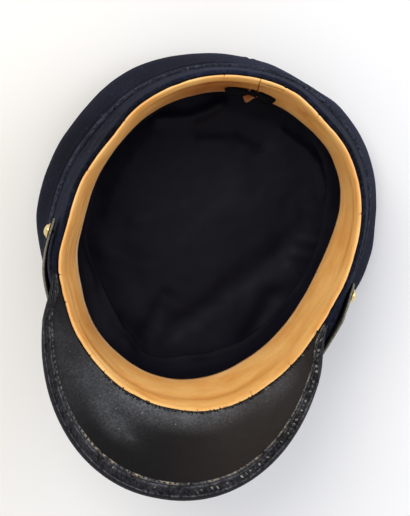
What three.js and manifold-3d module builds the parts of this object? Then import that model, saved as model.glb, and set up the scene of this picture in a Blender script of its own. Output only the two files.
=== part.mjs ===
// Peaked cap of dark wool with a leather peak, sweatband and chin strap.
// Millimetres, +Z up. The cap lies on its crown with the opening up and its front towards -Y.
import * as THREE from 'three';
import { mergeVertices } from 'three/addons/utils/BufferGeometryUtils.js';
import Module from 'manifold-3d';

const wasm = await Module();
wasm.setup();

// Head size: the inside of the sweatband at the rim, 57 cm around
const HEAD_HALF_LENGTH = 99;
const HEAD_HALF_WIDTH = 82.3;
const OVAL_BLUNTNESS = 2.08; // 2 is a true ellipse; more is squarer
const CAP_HEIGHT = 88; // crown top to rim
const AROUND = 60; // flats round the cap
const GAP = 0.35; // clearance between pieces that are sewn together

// Wall thicknesses
const CROWN_CLOTH = 2;
const BAND_WALL = 2.6;
const LINING_CLOTH = 1;
const SWEATBAND_LEATHER = 1.4;
const RIM_CLEAR_OUT = 2.9; // what is sewn outside the sweatband's lip starts this far out

// Wall sections. depth is measured from the rim towards the crown top, side and end are how far
// the wall stands outside the head oval at its sides and at its front and back, and shift moves
// the oval towards the back. lean slides the oval sideways for each mm towards the back, as the
// worn cap has slumped, and egg widens its back by that share.
const BAND_OUTSIDE = [
  { depth: 0.6, side: 5.0, end: 5.0, shift: 0, lean: 0.067, egg: 0.016 },
  { depth: 2.0, side: 5.8, end: 5.6, shift: 0, lean: 0.067, egg: 0.016 },
  { depth: 14, side: 8.8, end: 7.0, shift: 0, lean: 0.075, egg: 0.02 },
  { depth: 26, side: 11.6, end: 8.2, shift: 0, lean: 0.085, egg: 0.025 },
  { depth: 36.4, side: 14.2, end: 9.2, shift: 0, lean: 0.095, egg: 0.03 },
];
const CROWN_SIDE_OUTSIDE = [
  { depth: 40.6, side: 15.4, end: 10, shift: 0.6, lean: 0.092, egg: 0.032 },
  { depth: 45, side: 18.2, end: 11, shift: 1.8, lean: 0.08, egg: 0.04 },
  { depth: 51, side: 21.8, end: 11.6, shift: 3.2, lean: 0.064, egg: 0.05 },
  { depth: 57, side: 24.6, end: 12, shift: 4.4, lean: 0.052, egg: 0.06 },
  { depth: 63, side: 26, end: 12.1, shift: 5, lean: 0.043, egg: 0.065 },
  { depth: 70.6, side: 25, end: 11.2, shift: 5, lean: 0.043, egg: 0.065 },
];
const CROWN_TOP_OUTSIDE = [
  { depth: 71.2, side: 24.9, end: 11.1, shift: 5, lean: 0.043, egg: 0.065 },
  { depth: 77, side: 21.8, end: 8.2, shift: 4.6, lean: 0.043, egg: 0.065 },
  { depth: 82.5, side: 15.6, end: 2.1, shift: 3.8, lean: 0.043, egg: 0.06 },
  { depth: 86.4, side: 6.6, end: -7, shift: 2.6, lean: 0.043, egg: 0.05 },
  { depth: CAP_HEIGHT, side: -6, end: -20, shift: 1.4, lean: 0.043, egg: 0.04 },
];
const LINING_SIDE_INSIDE = [
  { depth: 18, side: 0.3, end: 0.3, shift: 0, lean: 0.086, egg: 0.04 },
  { depth: 38, side: 1.6, end: 1.4, shift: 0.4, lean: 0.1, egg: 0.06 },
  { depth: 54, side: 3.6, end: 2.2, shift: 0.8, lean: 0.1, egg: 0.06 },
  { depth: 68, side: 1.8, end: 0.8, shift: 1, lean: 0.1, egg: 0.06 },
  { depth: 76, side: -3, end: -4, shift: 1, lean: 0.1, egg: 0.06 },
];
const LINING_TOP_INSIDE = [
  { depth: 76.25, side: -3.35, end: -4.35, shift: 1, lean: 0.1, egg: 0.06 },
  { depth: 81.6, side: -11, end: -12, shift: 1, lean: 0.1, egg: 0.06 },
  { depth: 84.4, side: -23, end: -24, shift: 1, lean: 0.1, egg: 0.06 },
];
const SWEATBAND_INSIDE = [
  { depth: 39, side: -4.9, end: -5, shift: 0, lean: 0.108, egg: 0.068 },
  { depth: 27, side: -3.2, end: -3.3, shift: 0, lean: 0.095, egg: 0.052 },
  { depth: 15, side: -1.5, end: -1.6, shift: 0, lean: 0.083, egg: 0.036 },
  { depth: 4, side: 0, end: 0, shift: 0, lean: 0.071, egg: 0.021 },
  { depth: 0, side: 0.5, end: 0.5, shift: 0, lean: 0.067, egg: 0.016 },
  { depth: -1.4, side: 1.3, end: 1.3, shift: 0, lean: 0.067, egg: 0.016 },
];
const RIM_LIP = [
  { depth: -1.6, side: 1.9, end: 1.9, shift: 0, lean: 0.067, egg: 0.016 },
  { depth: -0.9, side: 2.5, end: 2.5, shift: 0, lean: 0.067, egg: 0.016 },
  { depth: 1.2, side: 2.5, end: 2.5, shift: 0, lean: 0.067, egg: 0.016 },
];

// Soft folds of the lining: a turn angle, how far each reaches round, and how far it stands in
const LINING_FOLDS = [
  { turn: 205, reach: 26, stand: 3.5 },
  { turn: 250, reach: 14, stand: 2.4 },
  { turn: 288, reach: 12, stand: 2.2 },
  { turn: 335, reach: 16, stand: 2.6 },
  { turn: 60, reach: 13, stand: 1.8 },
  { turn: 112, reach: 12, stand: 1.6 },
];

// Hollows worn into the crown's side, in the same terms; a negative stand swells out
const CROWN_DENTS = [
  { turn: 70, reach: 16, stand: 2.4 },
  { turn: 318, reach: 20, stand: 3 },
  { turn: 222, reach: 18, stand: 2.6 },
  { turn: 356, reach: 20, stand: -2.8 },
  { turn: 182, reach: 18, stand: -2.6 },
  { turn: 150, reach: 26, stand: 2 },
];

// Waves of the worn rim, which the walls below it follow less and less; a negative stand swells out
const RIM_WAVES = [
  { turn: 22, reach: 34, stand: -2 },
  { turn: 60, reach: 18, stand: 1.6 },
  { turn: 152, reach: 18, stand: 2.1 },
  { turn: 196, reach: 16, stand: -2.4 },
  { turn: 238, reach: 28, stand: 1.4 },
  { turn: 292, reach: 36, stand: -2.7 },
  { turn: 340, reach: 18, stand: 1.4 },
];
const RIM_WAVE_FULL = 12; // depth down to which the waves keep their size
const RIM_WAVE_END = 58;

// Where the sweatband's free edge sags in, in the same terms
const SWEATBAND_SAGS = [
  { turn: 358, reach: 26, stand: 2.6 },
  { turn: 27, reach: 14, stand: -0.6 },
  { turn: 72, reach: 38, stand: 3.1 },
  { turn: 110, reach: 16, stand: 0.8 },
  { turn: 195, reach: 16, stand: -0.5 },
  { turn: 250, reach: 26, stand: 0.8 },
  { turn: 335, reach: 16, stand: 0.5 },
];

// Welt sewn between the band and the crown
const WELT_RADIUS = 1.5;
const WELT_SIDES = 6;
const WELT_RING = { depth: 38.5, side: 14.2, end: 9.1, shift: 0.3, lean: 0.095, egg: 0.03 };

// Peak: its outline in plan is half a blunt oval, drawn in to the rim at the two tips
const PEAK_HALF_ANGLE = 72; // the sewn edge runs this far each way from the front
const PEAK_HALF_WIDTH = 85.7;
const PEAK_CENTRE_X = -3.7;
const PEAK_WIDEST_Y = -45;
const PEAK_FRONT_Y = -146;
const PEAK_BLUNTNESS_LEFT = 2.07;
const PEAK_BLUNTNESS_RIGHT = 2.17;
const PEAK_TIP_WIDTH = 3.2;
const PEAK_TAPER = 0.88; // share of the way to a tip where the outline starts to draw in to the seam
const PEAK_DROOP = 35; // fall of the front edge past the rim
const PEAK_BOW = 0.3; // 0 is a straight section, 1 a fully curved one
const PEAK_LEATHER = 2.2;
const PEAK_SEWN_EDGE = 1.5; // thickness skived down where it is sewn in
const PEAK_STATIONS = 40;
const PEAK_STEPS = 7;

// Leather binding folded over the peak's edge
const BINDING_WIDTH = 11;
const BINDING_LEATHER = 1;
const BINDING_CLEARANCE = 0.5;
const BINDING_SHARE = 0.6; // widest share of the peak that it covers near the tips
const BINDING_SKIP = 1; // stations of the peak that it leaves bare at each tip
const BINDING_END_FACES = [
  [0, 1, 2], [0, 2, 9], [2, 3, 9], [3, 4, 9], [4, 8, 9], [4, 5, 8], [5, 6, 8], [6, 7, 8],
];

// Chin strap and its two buttons
const STRAP_WIDTH = 12;
const STRAP_LEATHER = 2;
const STRAP_DEPTH = 9.5; // middle of the strap below the rim
const STRAP_STATIONS = 44;
const STRAP_END_RUN = 3.8; // degrees that the strap runs past each button
const STRAP_CLEARANCE = 0.6; // gap between strap and band where it lies close
// How far the strap's rim edge stands off the band, at degrees from the front, left being negative
const STRAP_STANDS = [
  { away: -92, stand: 4 },
  { away: -60, stand: 3.6 },
  { away: -35, stand: 0 },
  { away: 35, stand: 0 },
  { away: 60, stand: 7 },
  { away: 75, stand: 5.6 },
  { away: 84, stand: 1.8 },
  { away: 92, stand: 0.5 },
];
const BUTTON_AWAY_LEFT = -84.4; // degrees from the front to each button
const BUTTON_AWAY_RIGHT = 83;
const BUTTON_RADIUS = 4.8;
const BUTTON_DOME = 3.2;
const BUTTON_RIM = 0.9;
const SHANK_RADIUS = 1.3;
const SHANK_HOLE_RADIUS = 1.7;

// Ribbon bow that laces the sweatband together at the back
const BOW_DEPTH = 25;
const BOW_LOOP_LENGTH = 13;
const BOW_LOOP_HEIGHT = 8;
const BOW_DROOP = 24; // degrees that each loop hangs down
const BOW_SWEEP = 9; // degrees that each loop turns in from the leather
const BOW_WAIST = 2.4; // height of a loop at the knot
const BOW_STANDOFF = 1.6; // from the sweatband to the back of the loops, clear of its curve
const BOW_LOOP_THICKNESS = 2.6;
const BOW_KNOT_RADIUS = 3;
const SWEATBAND_SLIT = 0.5; // gap where the sweatband's two ends meet

// Colours read from the photograph
const CLOTH_NAVY = 0x1b1d2b;
const LINING_BLACK = 0x0d0d10;
const LEATHER_TAN = 0xd9a263;
const LEATHER_BLACK = 0x1c1b1b;
const LEATHER_BROWN = 0x2a231c;
const BRASS_GILT = 0xc9a04a;
const RIBBON_BLACK = 0x101013;

const radians = THREE.MathUtils.degToRad;

// A share from -1 to 1 bent so that an oval made from it is blunter than an ellipse
const bluntShare = (v, bluntness) => Math.sign(v) * Math.abs(v) ** (2 / bluntness);

// Point on a wall section's oval at a turn angle: 0 is the right side, 90 the back, 270 the front
function ovalPoint(row, turn) {
  const back = bluntShare(Math.sin(turn), OVAL_BLUNTNESS);
  const right = bluntShare(Math.cos(turn), OVAL_BLUNTNESS);
  const faded = THREE.MathUtils.smoothstep(row.depth, RIM_WAVE_FULL, RIM_WAVE_END);
  const wave = foldStand(RIM_WAVES, turn) * (1 - faded);
  const along = (HEAD_HALF_LENGTH + row.end - wave) * back;
  const across = (HEAD_HALF_WIDTH + row.side - wave) * right * (1 + row.egg * back);
  return new THREE.Vector3(across + row.lean * along, along + row.shift, CAP_HEIGHT - row.depth);
}

// Row part of the way between the rows of a table that is in order of one column, depth as a rule
function rowAt(rows, value, column = 'depth') {
  const upper = Math.max(1, rows.findIndex((row) => row[column] >= value));
  const [a, b] = [rows[upper - 1], rows[upper]];
  const share = (value - a[column]) / (b[column] - a[column]);
  const mix = (key) => [key, THREE.MathUtils.lerp(a[key], b[key], share)];
  return Object.fromEntries(Object.keys(a).map(mix));
}

// A row moved outwards by an amount, negative moving it in, and deeper by another
function offsetRow(row, amount, deeper = 0) {
  return { ...row, depth: row.depth + deeper, side: row.side + amount, end: row.end + amount };
}

// Smooth bump of height 1 round a turn angle, in degrees
function bump(turnDegrees, centre, reach) {
  const away = Math.abs(((turnDegrees - centre + 540) % 360) - 180);
  return away < reach ? 0.5 + 0.5 * Math.cos((Math.PI * away) / reach) : 0;
}

// How far the folds, dents or waves of a table stand in at one turn angle
function foldStand(folds, turn) {
  const turnDegrees = THREE.MathUtils.radToDeg(turn);
  return folds.reduce((sum, f) => sum + f.stand * bump(turnDegrees, f.turn, f.reach), 0);
}

// Row with the folds or dents of a table pushed in at one turn angle
function foldedRow(row, turn, folds, strength) {
  const push = foldStand(folds, turn);
  return { ...row, side: row.side - push * strength, end: row.end - push * strength };
}

// Grid of points to a closed geometry. Rows go along the section, columns round the piece. A grid
// that isn't a closed ring is finished at each end with a fan to a centre point or with listed faces.
function loft(grid, { ringRows = false, ringColumns = false, fanEnds = false, endFaces = [] } = {}) {
  const rows = grid.length;
  const columns = grid[0].length;
  const points = grid.flat();
  const faces = [];
  const at = (r, c) => (r % rows) * columns + (c % columns);
  for (let r = 0; r < (ringRows ? rows : rows - 1); r += 1) {
    for (let c = 0; c < (ringColumns ? columns : columns - 1); c += 1) {
      faces.push(at(r, c), at(r, c + 1), at(r + 1, c + 1));
      faces.push(at(r, c), at(r + 1, c + 1), at(r + 1, c));
    }
  }
  if (fanEnds) {
    for (const [r, flip] of [[0, true], [rows - 1, false]]) {
      const hub = points.length;
      const sum = grid[r].reduce((total, p) => total.add(p), new THREE.Vector3());
      points.push(sum.divideScalar(columns));
      for (let c = 0; c < columns; c += 1) {
        const pair = [at(r, c), at(r, c + 1)];
        faces.push(...(flip ? pair.reverse() : pair), hub);
      }
    }
  }
  for (const corners of endFaces) {
    faces.push(...corners.map((c) => at(0, c)).reverse());
    faces.push(...corners.map((c) => at(rows - 1, c)));
  }
  return outward(points, faces);
}

// Indexed geometry whose faces point out of the solid
function outward(points, faces) {
  let volume = 0;
  for (let i = 0; i < faces.length; i += 3) {
    const [a, b, c] = [points[faces[i]], points[faces[i + 1]], points[faces[i + 2]]];
    volume += a.dot(new THREE.Vector3().crossVectors(b, c));
  }
  if (volume < 0) {
    faces.reverse();
  }
  const geometry = new THREE.BufferGeometry().setFromPoints(points);
  geometry.setIndex(faces);
  return geometry;
}

// Closed ring of wall through section rows that go down one face and back up the other
function ringWall(rows, shape = (row) => row) {
  const turns = Array.from({ length: AROUND }, (_, i) => (2 * Math.PI * i) / AROUND);
  const grid = rows.map((row, i) => turns.map((turn) => ovalPoint(shape(row, turn, i), turn)));
  return loft(grid, { ringRows: true, ringColumns: true });
}

// Cup: a wall that runs down to a flat floor, made of an outer skin and an inner one
function cup(outside, inside, shape = (row) => row) {
  const turns = Array.from({ length: AROUND }, (_, i) => (2 * Math.PI * i) / AROUND);
  const rows = [...outside.toReversed(), ...inside];
  const grid = rows.map((row) => turns.map((turn) => ovalPoint(shape(row, turn), turn)));
  return loft(grid, { ringColumns: true, fanEnds: true });
}

function toSolid(geometry) {
  const bare = geometry.clone();
  bare.deleteAttribute('normal');
  bare.deleteAttribute('uv');
  const merged = mergeVertices(bare, 1e-4);
  const vertProperties = Float32Array.from(merged.attributes.position.array);
  const triVerts = Uint32Array.from(merged.index.array);
  return new wasm.Manifold(new wasm.Mesh({ numProp: 3, vertProperties, triVerts }));
}

function toGeometry(solid) {
  const mesh = solid.getMesh();
  const geometry = new THREE.BufferGeometry();
  geometry.setAttribute('position', new THREE.BufferAttribute(mesh.vertProperties, 3));
  geometry.setIndex(new THREE.BufferAttribute(mesh.triVerts, 1));
  return geometry;
}

const cap = new THREE.Group();

function addPiece(name, geometry, color, roughness, metalness = 0) {
  geometry.computeVertexNormals();
  const material = new THREE.MeshStandardMaterial({ color, roughness, metalness });
  const mesh = new THREE.Mesh(geometry, material);
  mesh.name = name;
  cap.add(mesh);
  return mesh;
}

// Crown: a flared side and a top that is flat where it rests
function crownDent(row, turn) {
  const strength = THREE.MathUtils.smoothstep(row.depth, 44, 60);
  return foldedRow(row, turn, CROWN_DENTS, strength);
}

function crownSide() {
  const inside = CROWN_SIDE_OUTSIDE.map((row) => offsetRow(row, -CROWN_CLOTH));
  return ringWall([...CROWN_SIDE_OUTSIDE, ...inside.toReversed()], crownDent);
}

function crownTop() {
  const inside = CROWN_TOP_OUTSIDE.map((row, i) => {
    return offsetRow(row, -CROWN_CLOTH, i === 0 ? 0 : -CROWN_CLOTH);
  });
  const easeDents = (row, turn) => {
    const strength = 1 - THREE.MathUtils.smoothstep(row.depth, 70, 84);
    return foldedRow(row, turn, CROWN_DENTS, strength);
  };
  return cup(CROWN_TOP_OUTSIDE, inside, easeDents);
}

// Band: stiffened cloth round the head
function band() {
  const inside = BAND_OUTSIDE.map((row, i) => {
    return i < 2 ? { ...row, side: RIM_CLEAR_OUT, end: RIM_CLEAR_OUT } : offsetRow(row, -BAND_WALL);
  });
  return ringWall([...BAND_OUTSIDE, ...inside.toReversed()]);
}

// Welt: a round cord of cloth between band and crown
function welt() {
  const rows = Array.from({ length: WELT_SIDES }, (_, i) => {
    const a = (2 * Math.PI * (i + 0.5)) / WELT_SIDES;
    return offsetRow(WELT_RING, WELT_RADIUS * Math.cos(a), WELT_RADIUS * Math.sin(a));
  });
  return ringWall(rows);
}

// Lining: a loose cloth side and a top that is sewn to it and lies flat on the crown's top
function liningFold(row, turn) {
  const strength = THREE.MathUtils.smoothstep(row.depth, 40, 62);
  const easing = 1 - THREE.MathUtils.smoothstep(row.depth, 80, 84);
  return foldedRow(row, turn, LINING_FOLDS, strength * easing);
}

function liningSide() {
  const lowest = LINING_SIDE_INSIDE.length - 1;
  const outside = LINING_SIDE_INSIDE.map((row, i) => {
    return offsetRow(row, LINING_CLOTH, i < lowest ? 0 : LINING_CLOTH);
  });
  return ringWall([...LINING_SIDE_INSIDE, ...outside.toReversed()], liningFold);
}

function liningTop() {
  const outside = LINING_TOP_INSIDE.map((row) => offsetRow(row, LINING_CLOTH, LINING_CLOTH));
  return cup(outside, LINING_TOP_INSIDE, liningFold);
}

// Sweatband: leather turned over the rim, with its two ends meeting at the back
function sweatbandSag(row, turn) {
  return foldedRow(row, turn, SWEATBAND_SAGS, THREE.MathUtils.smoothstep(row.depth, 4, 39));
}

function sweatband() {
  const outside = SWEATBAND_INSIDE.slice(0, 4).map((row) => offsetRow(row, SWEATBAND_LEATHER));
  const ring = ringWall([...SWEATBAND_INSIDE, ...RIM_LIP, ...outside.toReversed()], sweatbandSag);
  const back = ovalPoint(SWEATBAND_INSIDE[1], Math.PI / 2);
  const slit = new THREE.BoxGeometry(SWEATBAND_SLIT, 30, 80);
  slit.translate(back.x + 0.01, back.y, back.z + 9);
  return toGeometry(toSolid(ring).subtract(toSolid(slit)));
}

// Points of the peak: t runs from the left tip, -1, to the right tip, 1, and s from the seam to the edge
function peakPoint(t, s) {
  const seam = { ...RIM_LIP[0], depth: 0, side: RIM_CLEAR_OUT, end: RIM_CLEAR_OUT };
  const inner = ovalPoint(seam, radians(270 + t * PEAK_HALF_ANGLE));
  const swing = (Math.PI / 2) * t;
  const bluntness = t < 0 ? PEAK_BLUNTNESS_LEFT : PEAK_BLUNTNESS_RIGHT;
  const run = bluntShare(Math.max(0, Math.cos(swing)), bluntness);
  const wide = PEAK_CENTRE_X + PEAK_HALF_WIDTH * bluntShare(Math.sin(swing), bluntness);
  const close = THREE.MathUtils.smoothstep(Math.abs(t), PEAK_TAPER, 1);
  const x = THREE.MathUtils.lerp(wide, inner.x + Math.sign(t) * PEAK_TIP_WIDTH, close);
  const y = THREE.MathUtils.lerp(THREE.MathUtils.lerp(PEAK_WIDEST_Y, PEAK_FRONT_Y, run), inner.y, close);
  const fall = PEAK_DROOP * run ** 1.1;
  const curve = s * (1 - PEAK_BOW) + s * s * PEAK_BOW;
  return new THREE.Vector3(
    THREE.MathUtils.lerp(inner.x, x, s),
    THREE.MathUtils.lerp(inner.y, y, s),
    inner.z + GAP - 0.6 + fall * curve,
  );
}

// Frame at a point of the peak: inwards along the leather, and up off its underside
function peakFrame(t, s) {
  const step = 1e-3;
  const around = peakPoint(Math.min(1, t + step), s).sub(peakPoint(Math.max(-1, t - step), s));
  const inwards = peakPoint(t, s - step).sub(peakPoint(t, s)).normalize();
  const up = new THREE.Vector3().crossVectors(inwards, around).normalize();
  return { point: peakPoint(t, s), inwards, up: up.z < 0 ? up.negate() : up };
}

const straightUp = new THREE.Vector3(0, 0, 1);
const peakWidthAt = (t) => peakPoint(t, 0).distanceTo(peakPoint(t, 1));

function peak() {
  const rows = [];
  const edgeInset = BINDING_LEATHER + BINDING_CLEARANCE;
  for (let i = 0; i <= PEAK_STATIONS; i += 1) {
    const t = -1 + (2 * i) / PEAK_STATIONS;
    const reach = 1 - edgeInset / peakWidthAt(t);
    const frames = Array.from({ length: PEAK_STEPS + 1 }, (_, k) => {
      return peakFrame(t, (reach * k) / PEAK_STEPS);
    });
    const under = frames.map(({ point, up }, k) => {
      const lift = THREE.MathUtils.lerp(PEAK_SEWN_EDGE, PEAK_LEATHER, Math.min(1, k / 2));
      return point.clone().addScaledVector(k === 0 ? straightUp : up, lift);
    });
    rows.push([...frames.map((f) => f.point), ...under.toReversed()]);
  }
  return loft(rows, { ringColumns: true, fanEnds: true });
}

// Binding: a strip folded round the peak's edge, seen on both faces
function peakBinding() {
  const rows = [];
  for (let i = BINDING_SKIP; i <= PEAK_STATIONS - BINDING_SKIP; i += 1) {
    const t = -1 + (2 * i) / PEAK_STATIONS;
    const width = Math.min(BINDING_WIDTH, BINDING_SHARE * peakWidthAt(t));
    const { point, inwards, up } = peakFrame(t, 1);
    const low = -BINDING_CLEARANCE;
    const high = PEAK_LEATHER + BINDING_CLEARANCE;
    const leather = BINDING_LEATHER;
    const section = [
      [width, high],
      [width, high + leather],
      [1.2, high + leather],
      [0, high],
      [0, low],
      [1.2, low - leather],
      [width, low - leather],
      [width, low],
      [leather, low],
      [leather, high],
    ];
    const inner = peakFrame(t, 1 - width / peakWidthAt(t));
    rows.push(section.map(([inset, lift]) => {
      const base = inset === width ? inner : { point: point.clone().addScaledVector(inwards, inset), up };
      return base.point.clone().addScaledVector(base.up, lift);
    }));
  }
  return loft(rows, { ringColumns: true, endFaces: BINDING_END_FACES });
}

// Chin strap: button to button round the front of the band. Its rim edge stands off the band beside
// the peak's tips, and its other edge lies close.
const strapStand = (away) => rowAt(STRAP_STANDS, away, 'away').stand;

function strapPoint(away, acrossShare, out) {
  const depth = STRAP_DEPTH + acrossShare * STRAP_WIDTH;
  const row = rowAt(BAND_OUTSIDE, depth);
  const stand = STRAP_CLEARANCE + strapStand(away) * (0.5 - acrossShare) + out;
  return ovalPoint(offsetRow(row, stand), radians(270 + away));
}

function chinStrap() {
  const start = BUTTON_AWAY_LEFT - STRAP_END_RUN;
  const end = BUTTON_AWAY_RIGHT + STRAP_END_RUN;
  const rows = [];
  for (let i = 0; i <= STRAP_STATIONS; i += 1) {
    const away = THREE.MathUtils.lerp(start, end, i / STRAP_STATIONS);
    const fromEnd = Math.min(away - start, end - away) / STRAP_END_RUN;
    const half = fromEnd < 1 ? 0.5 * Math.sqrt(0.12 + 0.88 * (1 - (1 - fromEnd) ** 2)) : 0.5;
    rows.push([
      strapPoint(away, -half, 0),
      strapPoint(away, half, 0),
      strapPoint(away, half, STRAP_LEATHER),
      strapPoint(away, -half, STRAP_LEATHER),
    ]);
  }
  let solid = toSolid(loft(rows, { ringColumns: true, fanEnds: true }));
  for (const away of [BUTTON_AWAY_LEFT, BUTTON_AWAY_RIGHT]) {
    const hole = new THREE.CylinderGeometry(SHANK_HOLE_RADIUS, SHANK_HOLE_RADIUS, 12, 12);
    solid = solid.subtract(toSolid(seatButton(hole, away)));
  }
  return toGeometry(solid);
}

// Places a shape that points along +Y on the strap's outer face at one of the buttons
function seatButton(geometry, away) {
  const seat = strapPoint(away, 0, STRAP_LEATHER);
  const along = strapPoint(away + 1, 0, STRAP_LEATHER).sub(strapPoint(away - 1, 0, STRAP_LEATHER));
  const across = strapPoint(away, 0.5, STRAP_LEATHER).sub(strapPoint(away, -0.5, STRAP_LEATHER));
  const normal = new THREE.Vector3().crossVectors(across, along).normalize();
  const turn = new THREE.Quaternion().setFromUnitVectors(new THREE.Vector3(0, 1, 0), normal);
  return geometry.applyQuaternion(turn).translate(seat.x, seat.y, seat.z);
}

// Button: a hollow-looking dome with a rolled rim, on a plain shank that ends at the band
function button(away) {
  const shankFoot = -(STRAP_LEATHER + STRAP_CLEARANCE + strapStand(away) / 2 - 2 * GAP);
  const profile = [
    new THREE.Vector2(0, shankFoot),
    new THREE.Vector2(SHANK_RADIUS, shankFoot),
    new THREE.Vector2(SHANK_RADIUS, GAP),
    new THREE.Vector2(BUTTON_RADIUS - 0.4, GAP),
    new THREE.Vector2(BUTTON_RADIUS, GAP + BUTTON_RIM / 2),
    new THREE.Vector2(BUTTON_RADIUS - 0.4, GAP + BUTTON_RIM),
  ];
  const domeSteps = 4;
  for (let i = 0; i < domeSteps; i += 1) {
    const a = (Math.PI / 2) * (i / domeSteps);
    const rise = (BUTTON_DOME - BUTTON_RIM) * Math.sin(a);
    profile.push(new THREE.Vector2((BUTTON_RADIUS - 0.9) * Math.cos(a), GAP + BUTTON_RIM + rise));
  }
  profile.push(new THREE.Vector2(0, GAP + BUTTON_DOME));
  const lathe = new THREE.LatheGeometry(profile, 16);
  return toGeometry(toSolid(seatButton(lathe, away)));
}

// Bow: two flat ribbon loops either side of a knot, lying on the sweatband at the back
function bow() {
  const deepest = SWEATBAND_INSIDE[0].depth;
  const wallAt = (depth) => {
    const row = rowAt(SWEATBAND_INSIDE.toReversed(), depth);
    return ovalPoint(sweatbandSag(row, Math.PI / 2), Math.PI / 2);
  };
  const seat = wallAt(BOW_DEPTH);
  const down = wallAt(deepest).sub(seat);
  const lean = THREE.MathUtils.radToDeg(Math.atan2(down.y, -down.z));
  const knot = new THREE.SphereGeometry(BOW_KNOT_RADIUS, 10, 8).scale(1, 0.62, 1.1);
  const [long, tall] = [BOW_LOOP_LENGTH, BOW_LOOP_HEIGHT];
  let solid = toSolid(knot);
  for (const side of [-1, 1]) {
    const outline = new THREE.Shape();
    outline.moveTo(0, -BOW_WAIST / 2);
    outline.quadraticCurveTo(0.5 * long, -0.75 * tall, long, -0.3 * tall);
    outline.quadraticCurveTo(1.15 * long, 0.1 * tall, long, 0.36 * tall);
    outline.quadraticCurveTo(0.5 * long, 0.7 * tall, 0, BOW_WAIST / 2);
    const options = { depth: BOW_LOOP_THICKNESS, bevelEnabled: false, curveSegments: 6 };
    const loop = new THREE.ExtrudeGeometry(outline, options);
    loop.translate(0, 0, -BOW_LOOP_THICKNESS / 2).rotateX(Math.PI / 2);
    if (side < 0) {
      loop.rotateZ(Math.PI);
    }
    loop.rotateY(side * radians(BOW_DROOP)).rotateZ(-side * radians(BOW_SWEEP));
    solid = solid.add(toSolid(loop));
  }
  const inwards = BOW_STANDOFF + BOW_LOOP_THICKNESS / 2;
  return toGeometry(solid.rotate([lean, 0, 0]).translate(seat.x, seat.y - inwards, seat.z));
}

addPiece('crown_side', crownSide(), CLOTH_NAVY, 0.95);
addPiece('crown_top', crownTop(), CLOTH_NAVY, 0.95);
addPiece('band', band(), CLOTH_NAVY, 0.95);
addPiece('welt', welt(), CLOTH_NAVY, 0.9);
addPiece('lining_side', liningSide(), LINING_BLACK, 0.8);
addPiece('lining_top', liningTop(), LINING_BLACK, 0.8);
addPiece('sweatband', sweatband(), LEATHER_TAN, 0.55);
addPiece('peak', peak(), LEATHER_BLACK, 0.45);
addPiece('peak_binding', peakBinding(), LEATHER_BLACK, 0.4);
addPiece('chin_strap', chinStrap(), LEATHER_BROWN, 0.5);
addPiece('button_left', button(BUTTON_AWAY_LEFT), BRASS_GILT, 0.3, 1);
addPiece('button_right', button(BUTTON_AWAY_RIGHT), BRASS_GILT, 0.3, 1);
addPiece('sweatband_bow', bow(), RIBBON_BLACK, 0.7);

export default cap;
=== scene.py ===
import math
import random
from functools import partial
import bpy
from mathutils import Matrix, Vector, noise


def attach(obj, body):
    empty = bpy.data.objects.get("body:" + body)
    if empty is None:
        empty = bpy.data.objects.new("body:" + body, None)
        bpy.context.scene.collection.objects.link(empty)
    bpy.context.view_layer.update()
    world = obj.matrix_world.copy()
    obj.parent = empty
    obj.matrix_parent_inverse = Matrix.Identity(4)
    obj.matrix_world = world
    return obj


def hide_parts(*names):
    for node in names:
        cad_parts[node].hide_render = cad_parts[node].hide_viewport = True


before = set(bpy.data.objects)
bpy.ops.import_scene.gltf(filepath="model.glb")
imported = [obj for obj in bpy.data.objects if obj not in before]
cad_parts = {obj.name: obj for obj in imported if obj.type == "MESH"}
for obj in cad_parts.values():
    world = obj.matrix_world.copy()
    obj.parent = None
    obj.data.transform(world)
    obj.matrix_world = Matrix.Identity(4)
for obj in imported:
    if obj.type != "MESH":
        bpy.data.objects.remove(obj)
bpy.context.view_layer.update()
mm = 0.001  # shapes are worked out in millimetres and placed in metres
random.seed(11)

# The head oval and the cap's height: the same driving sizes as the solids
head = {
    "halfLength": 99.0,
    "halfWidth": 82.3,
    "bluntness": 2.08,
    "capHeight": 88.0,
    "rimShape": (0.0, 0.067, 0.016),  # shift, lean and egg of the oval at the rim
    # waves of the worn rim: turn and reach in degrees, how far out in mm
    "rimWaves": [
        (22, 34, 2.0), (60, 18, -1.6), (152, 18, -2.1), (196, 16, 2.4),
        (238, 28, -1.4), (292, 36, 2.7), (340, 18, -1.4),
    ],
    "waveDepths": (12.0, 58.0),  # the walls follow the waves fully to the first, and not past the second
}


# General shape tools

def between(low, high, share):
    return low + (high - low) * share


def clamped(value):
    return min(1.0, max(0.0, value))


def bluntShare(share, bluntness):
    return math.copysign(abs(share) ** (2 / bluntness), share)


def smoothStep(value, low, high):
    share = clamped((value - low) / (high - low))
    return share * share * (3 - 2 * share)


def bump(away, reach):  # soft hill of height 1 at 0, gone past reach
    return 0.5 + 0.5 * math.cos(math.pi * away / reach) if abs(away) < reach else 0.0


def turnAway(turn, centreDegrees):  # signed angle from a place on the oval, in degrees
    return (math.degrees(turn) - centreDegrees + 540) % 360 - 180


def hills(table, turn):  # sum of soft hills round the oval, from rows of turn, reach and height
    return sum(tall * bump(turnAway(turn, at), reach) for at, reach, tall in table)


def ripple(point, size, seed):  # smooth unevenness from -1 to 1, with hills about size mm apart
    return noise.noise(point / size + Vector((seed, 3.7 * seed, 1.3 * seed)))


def uneven(point, *table):  # sum of ripples, from rows of height, size and seed
    return sum(tall * ripple(point, size, seed) for tall, size, seed in table)


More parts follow.
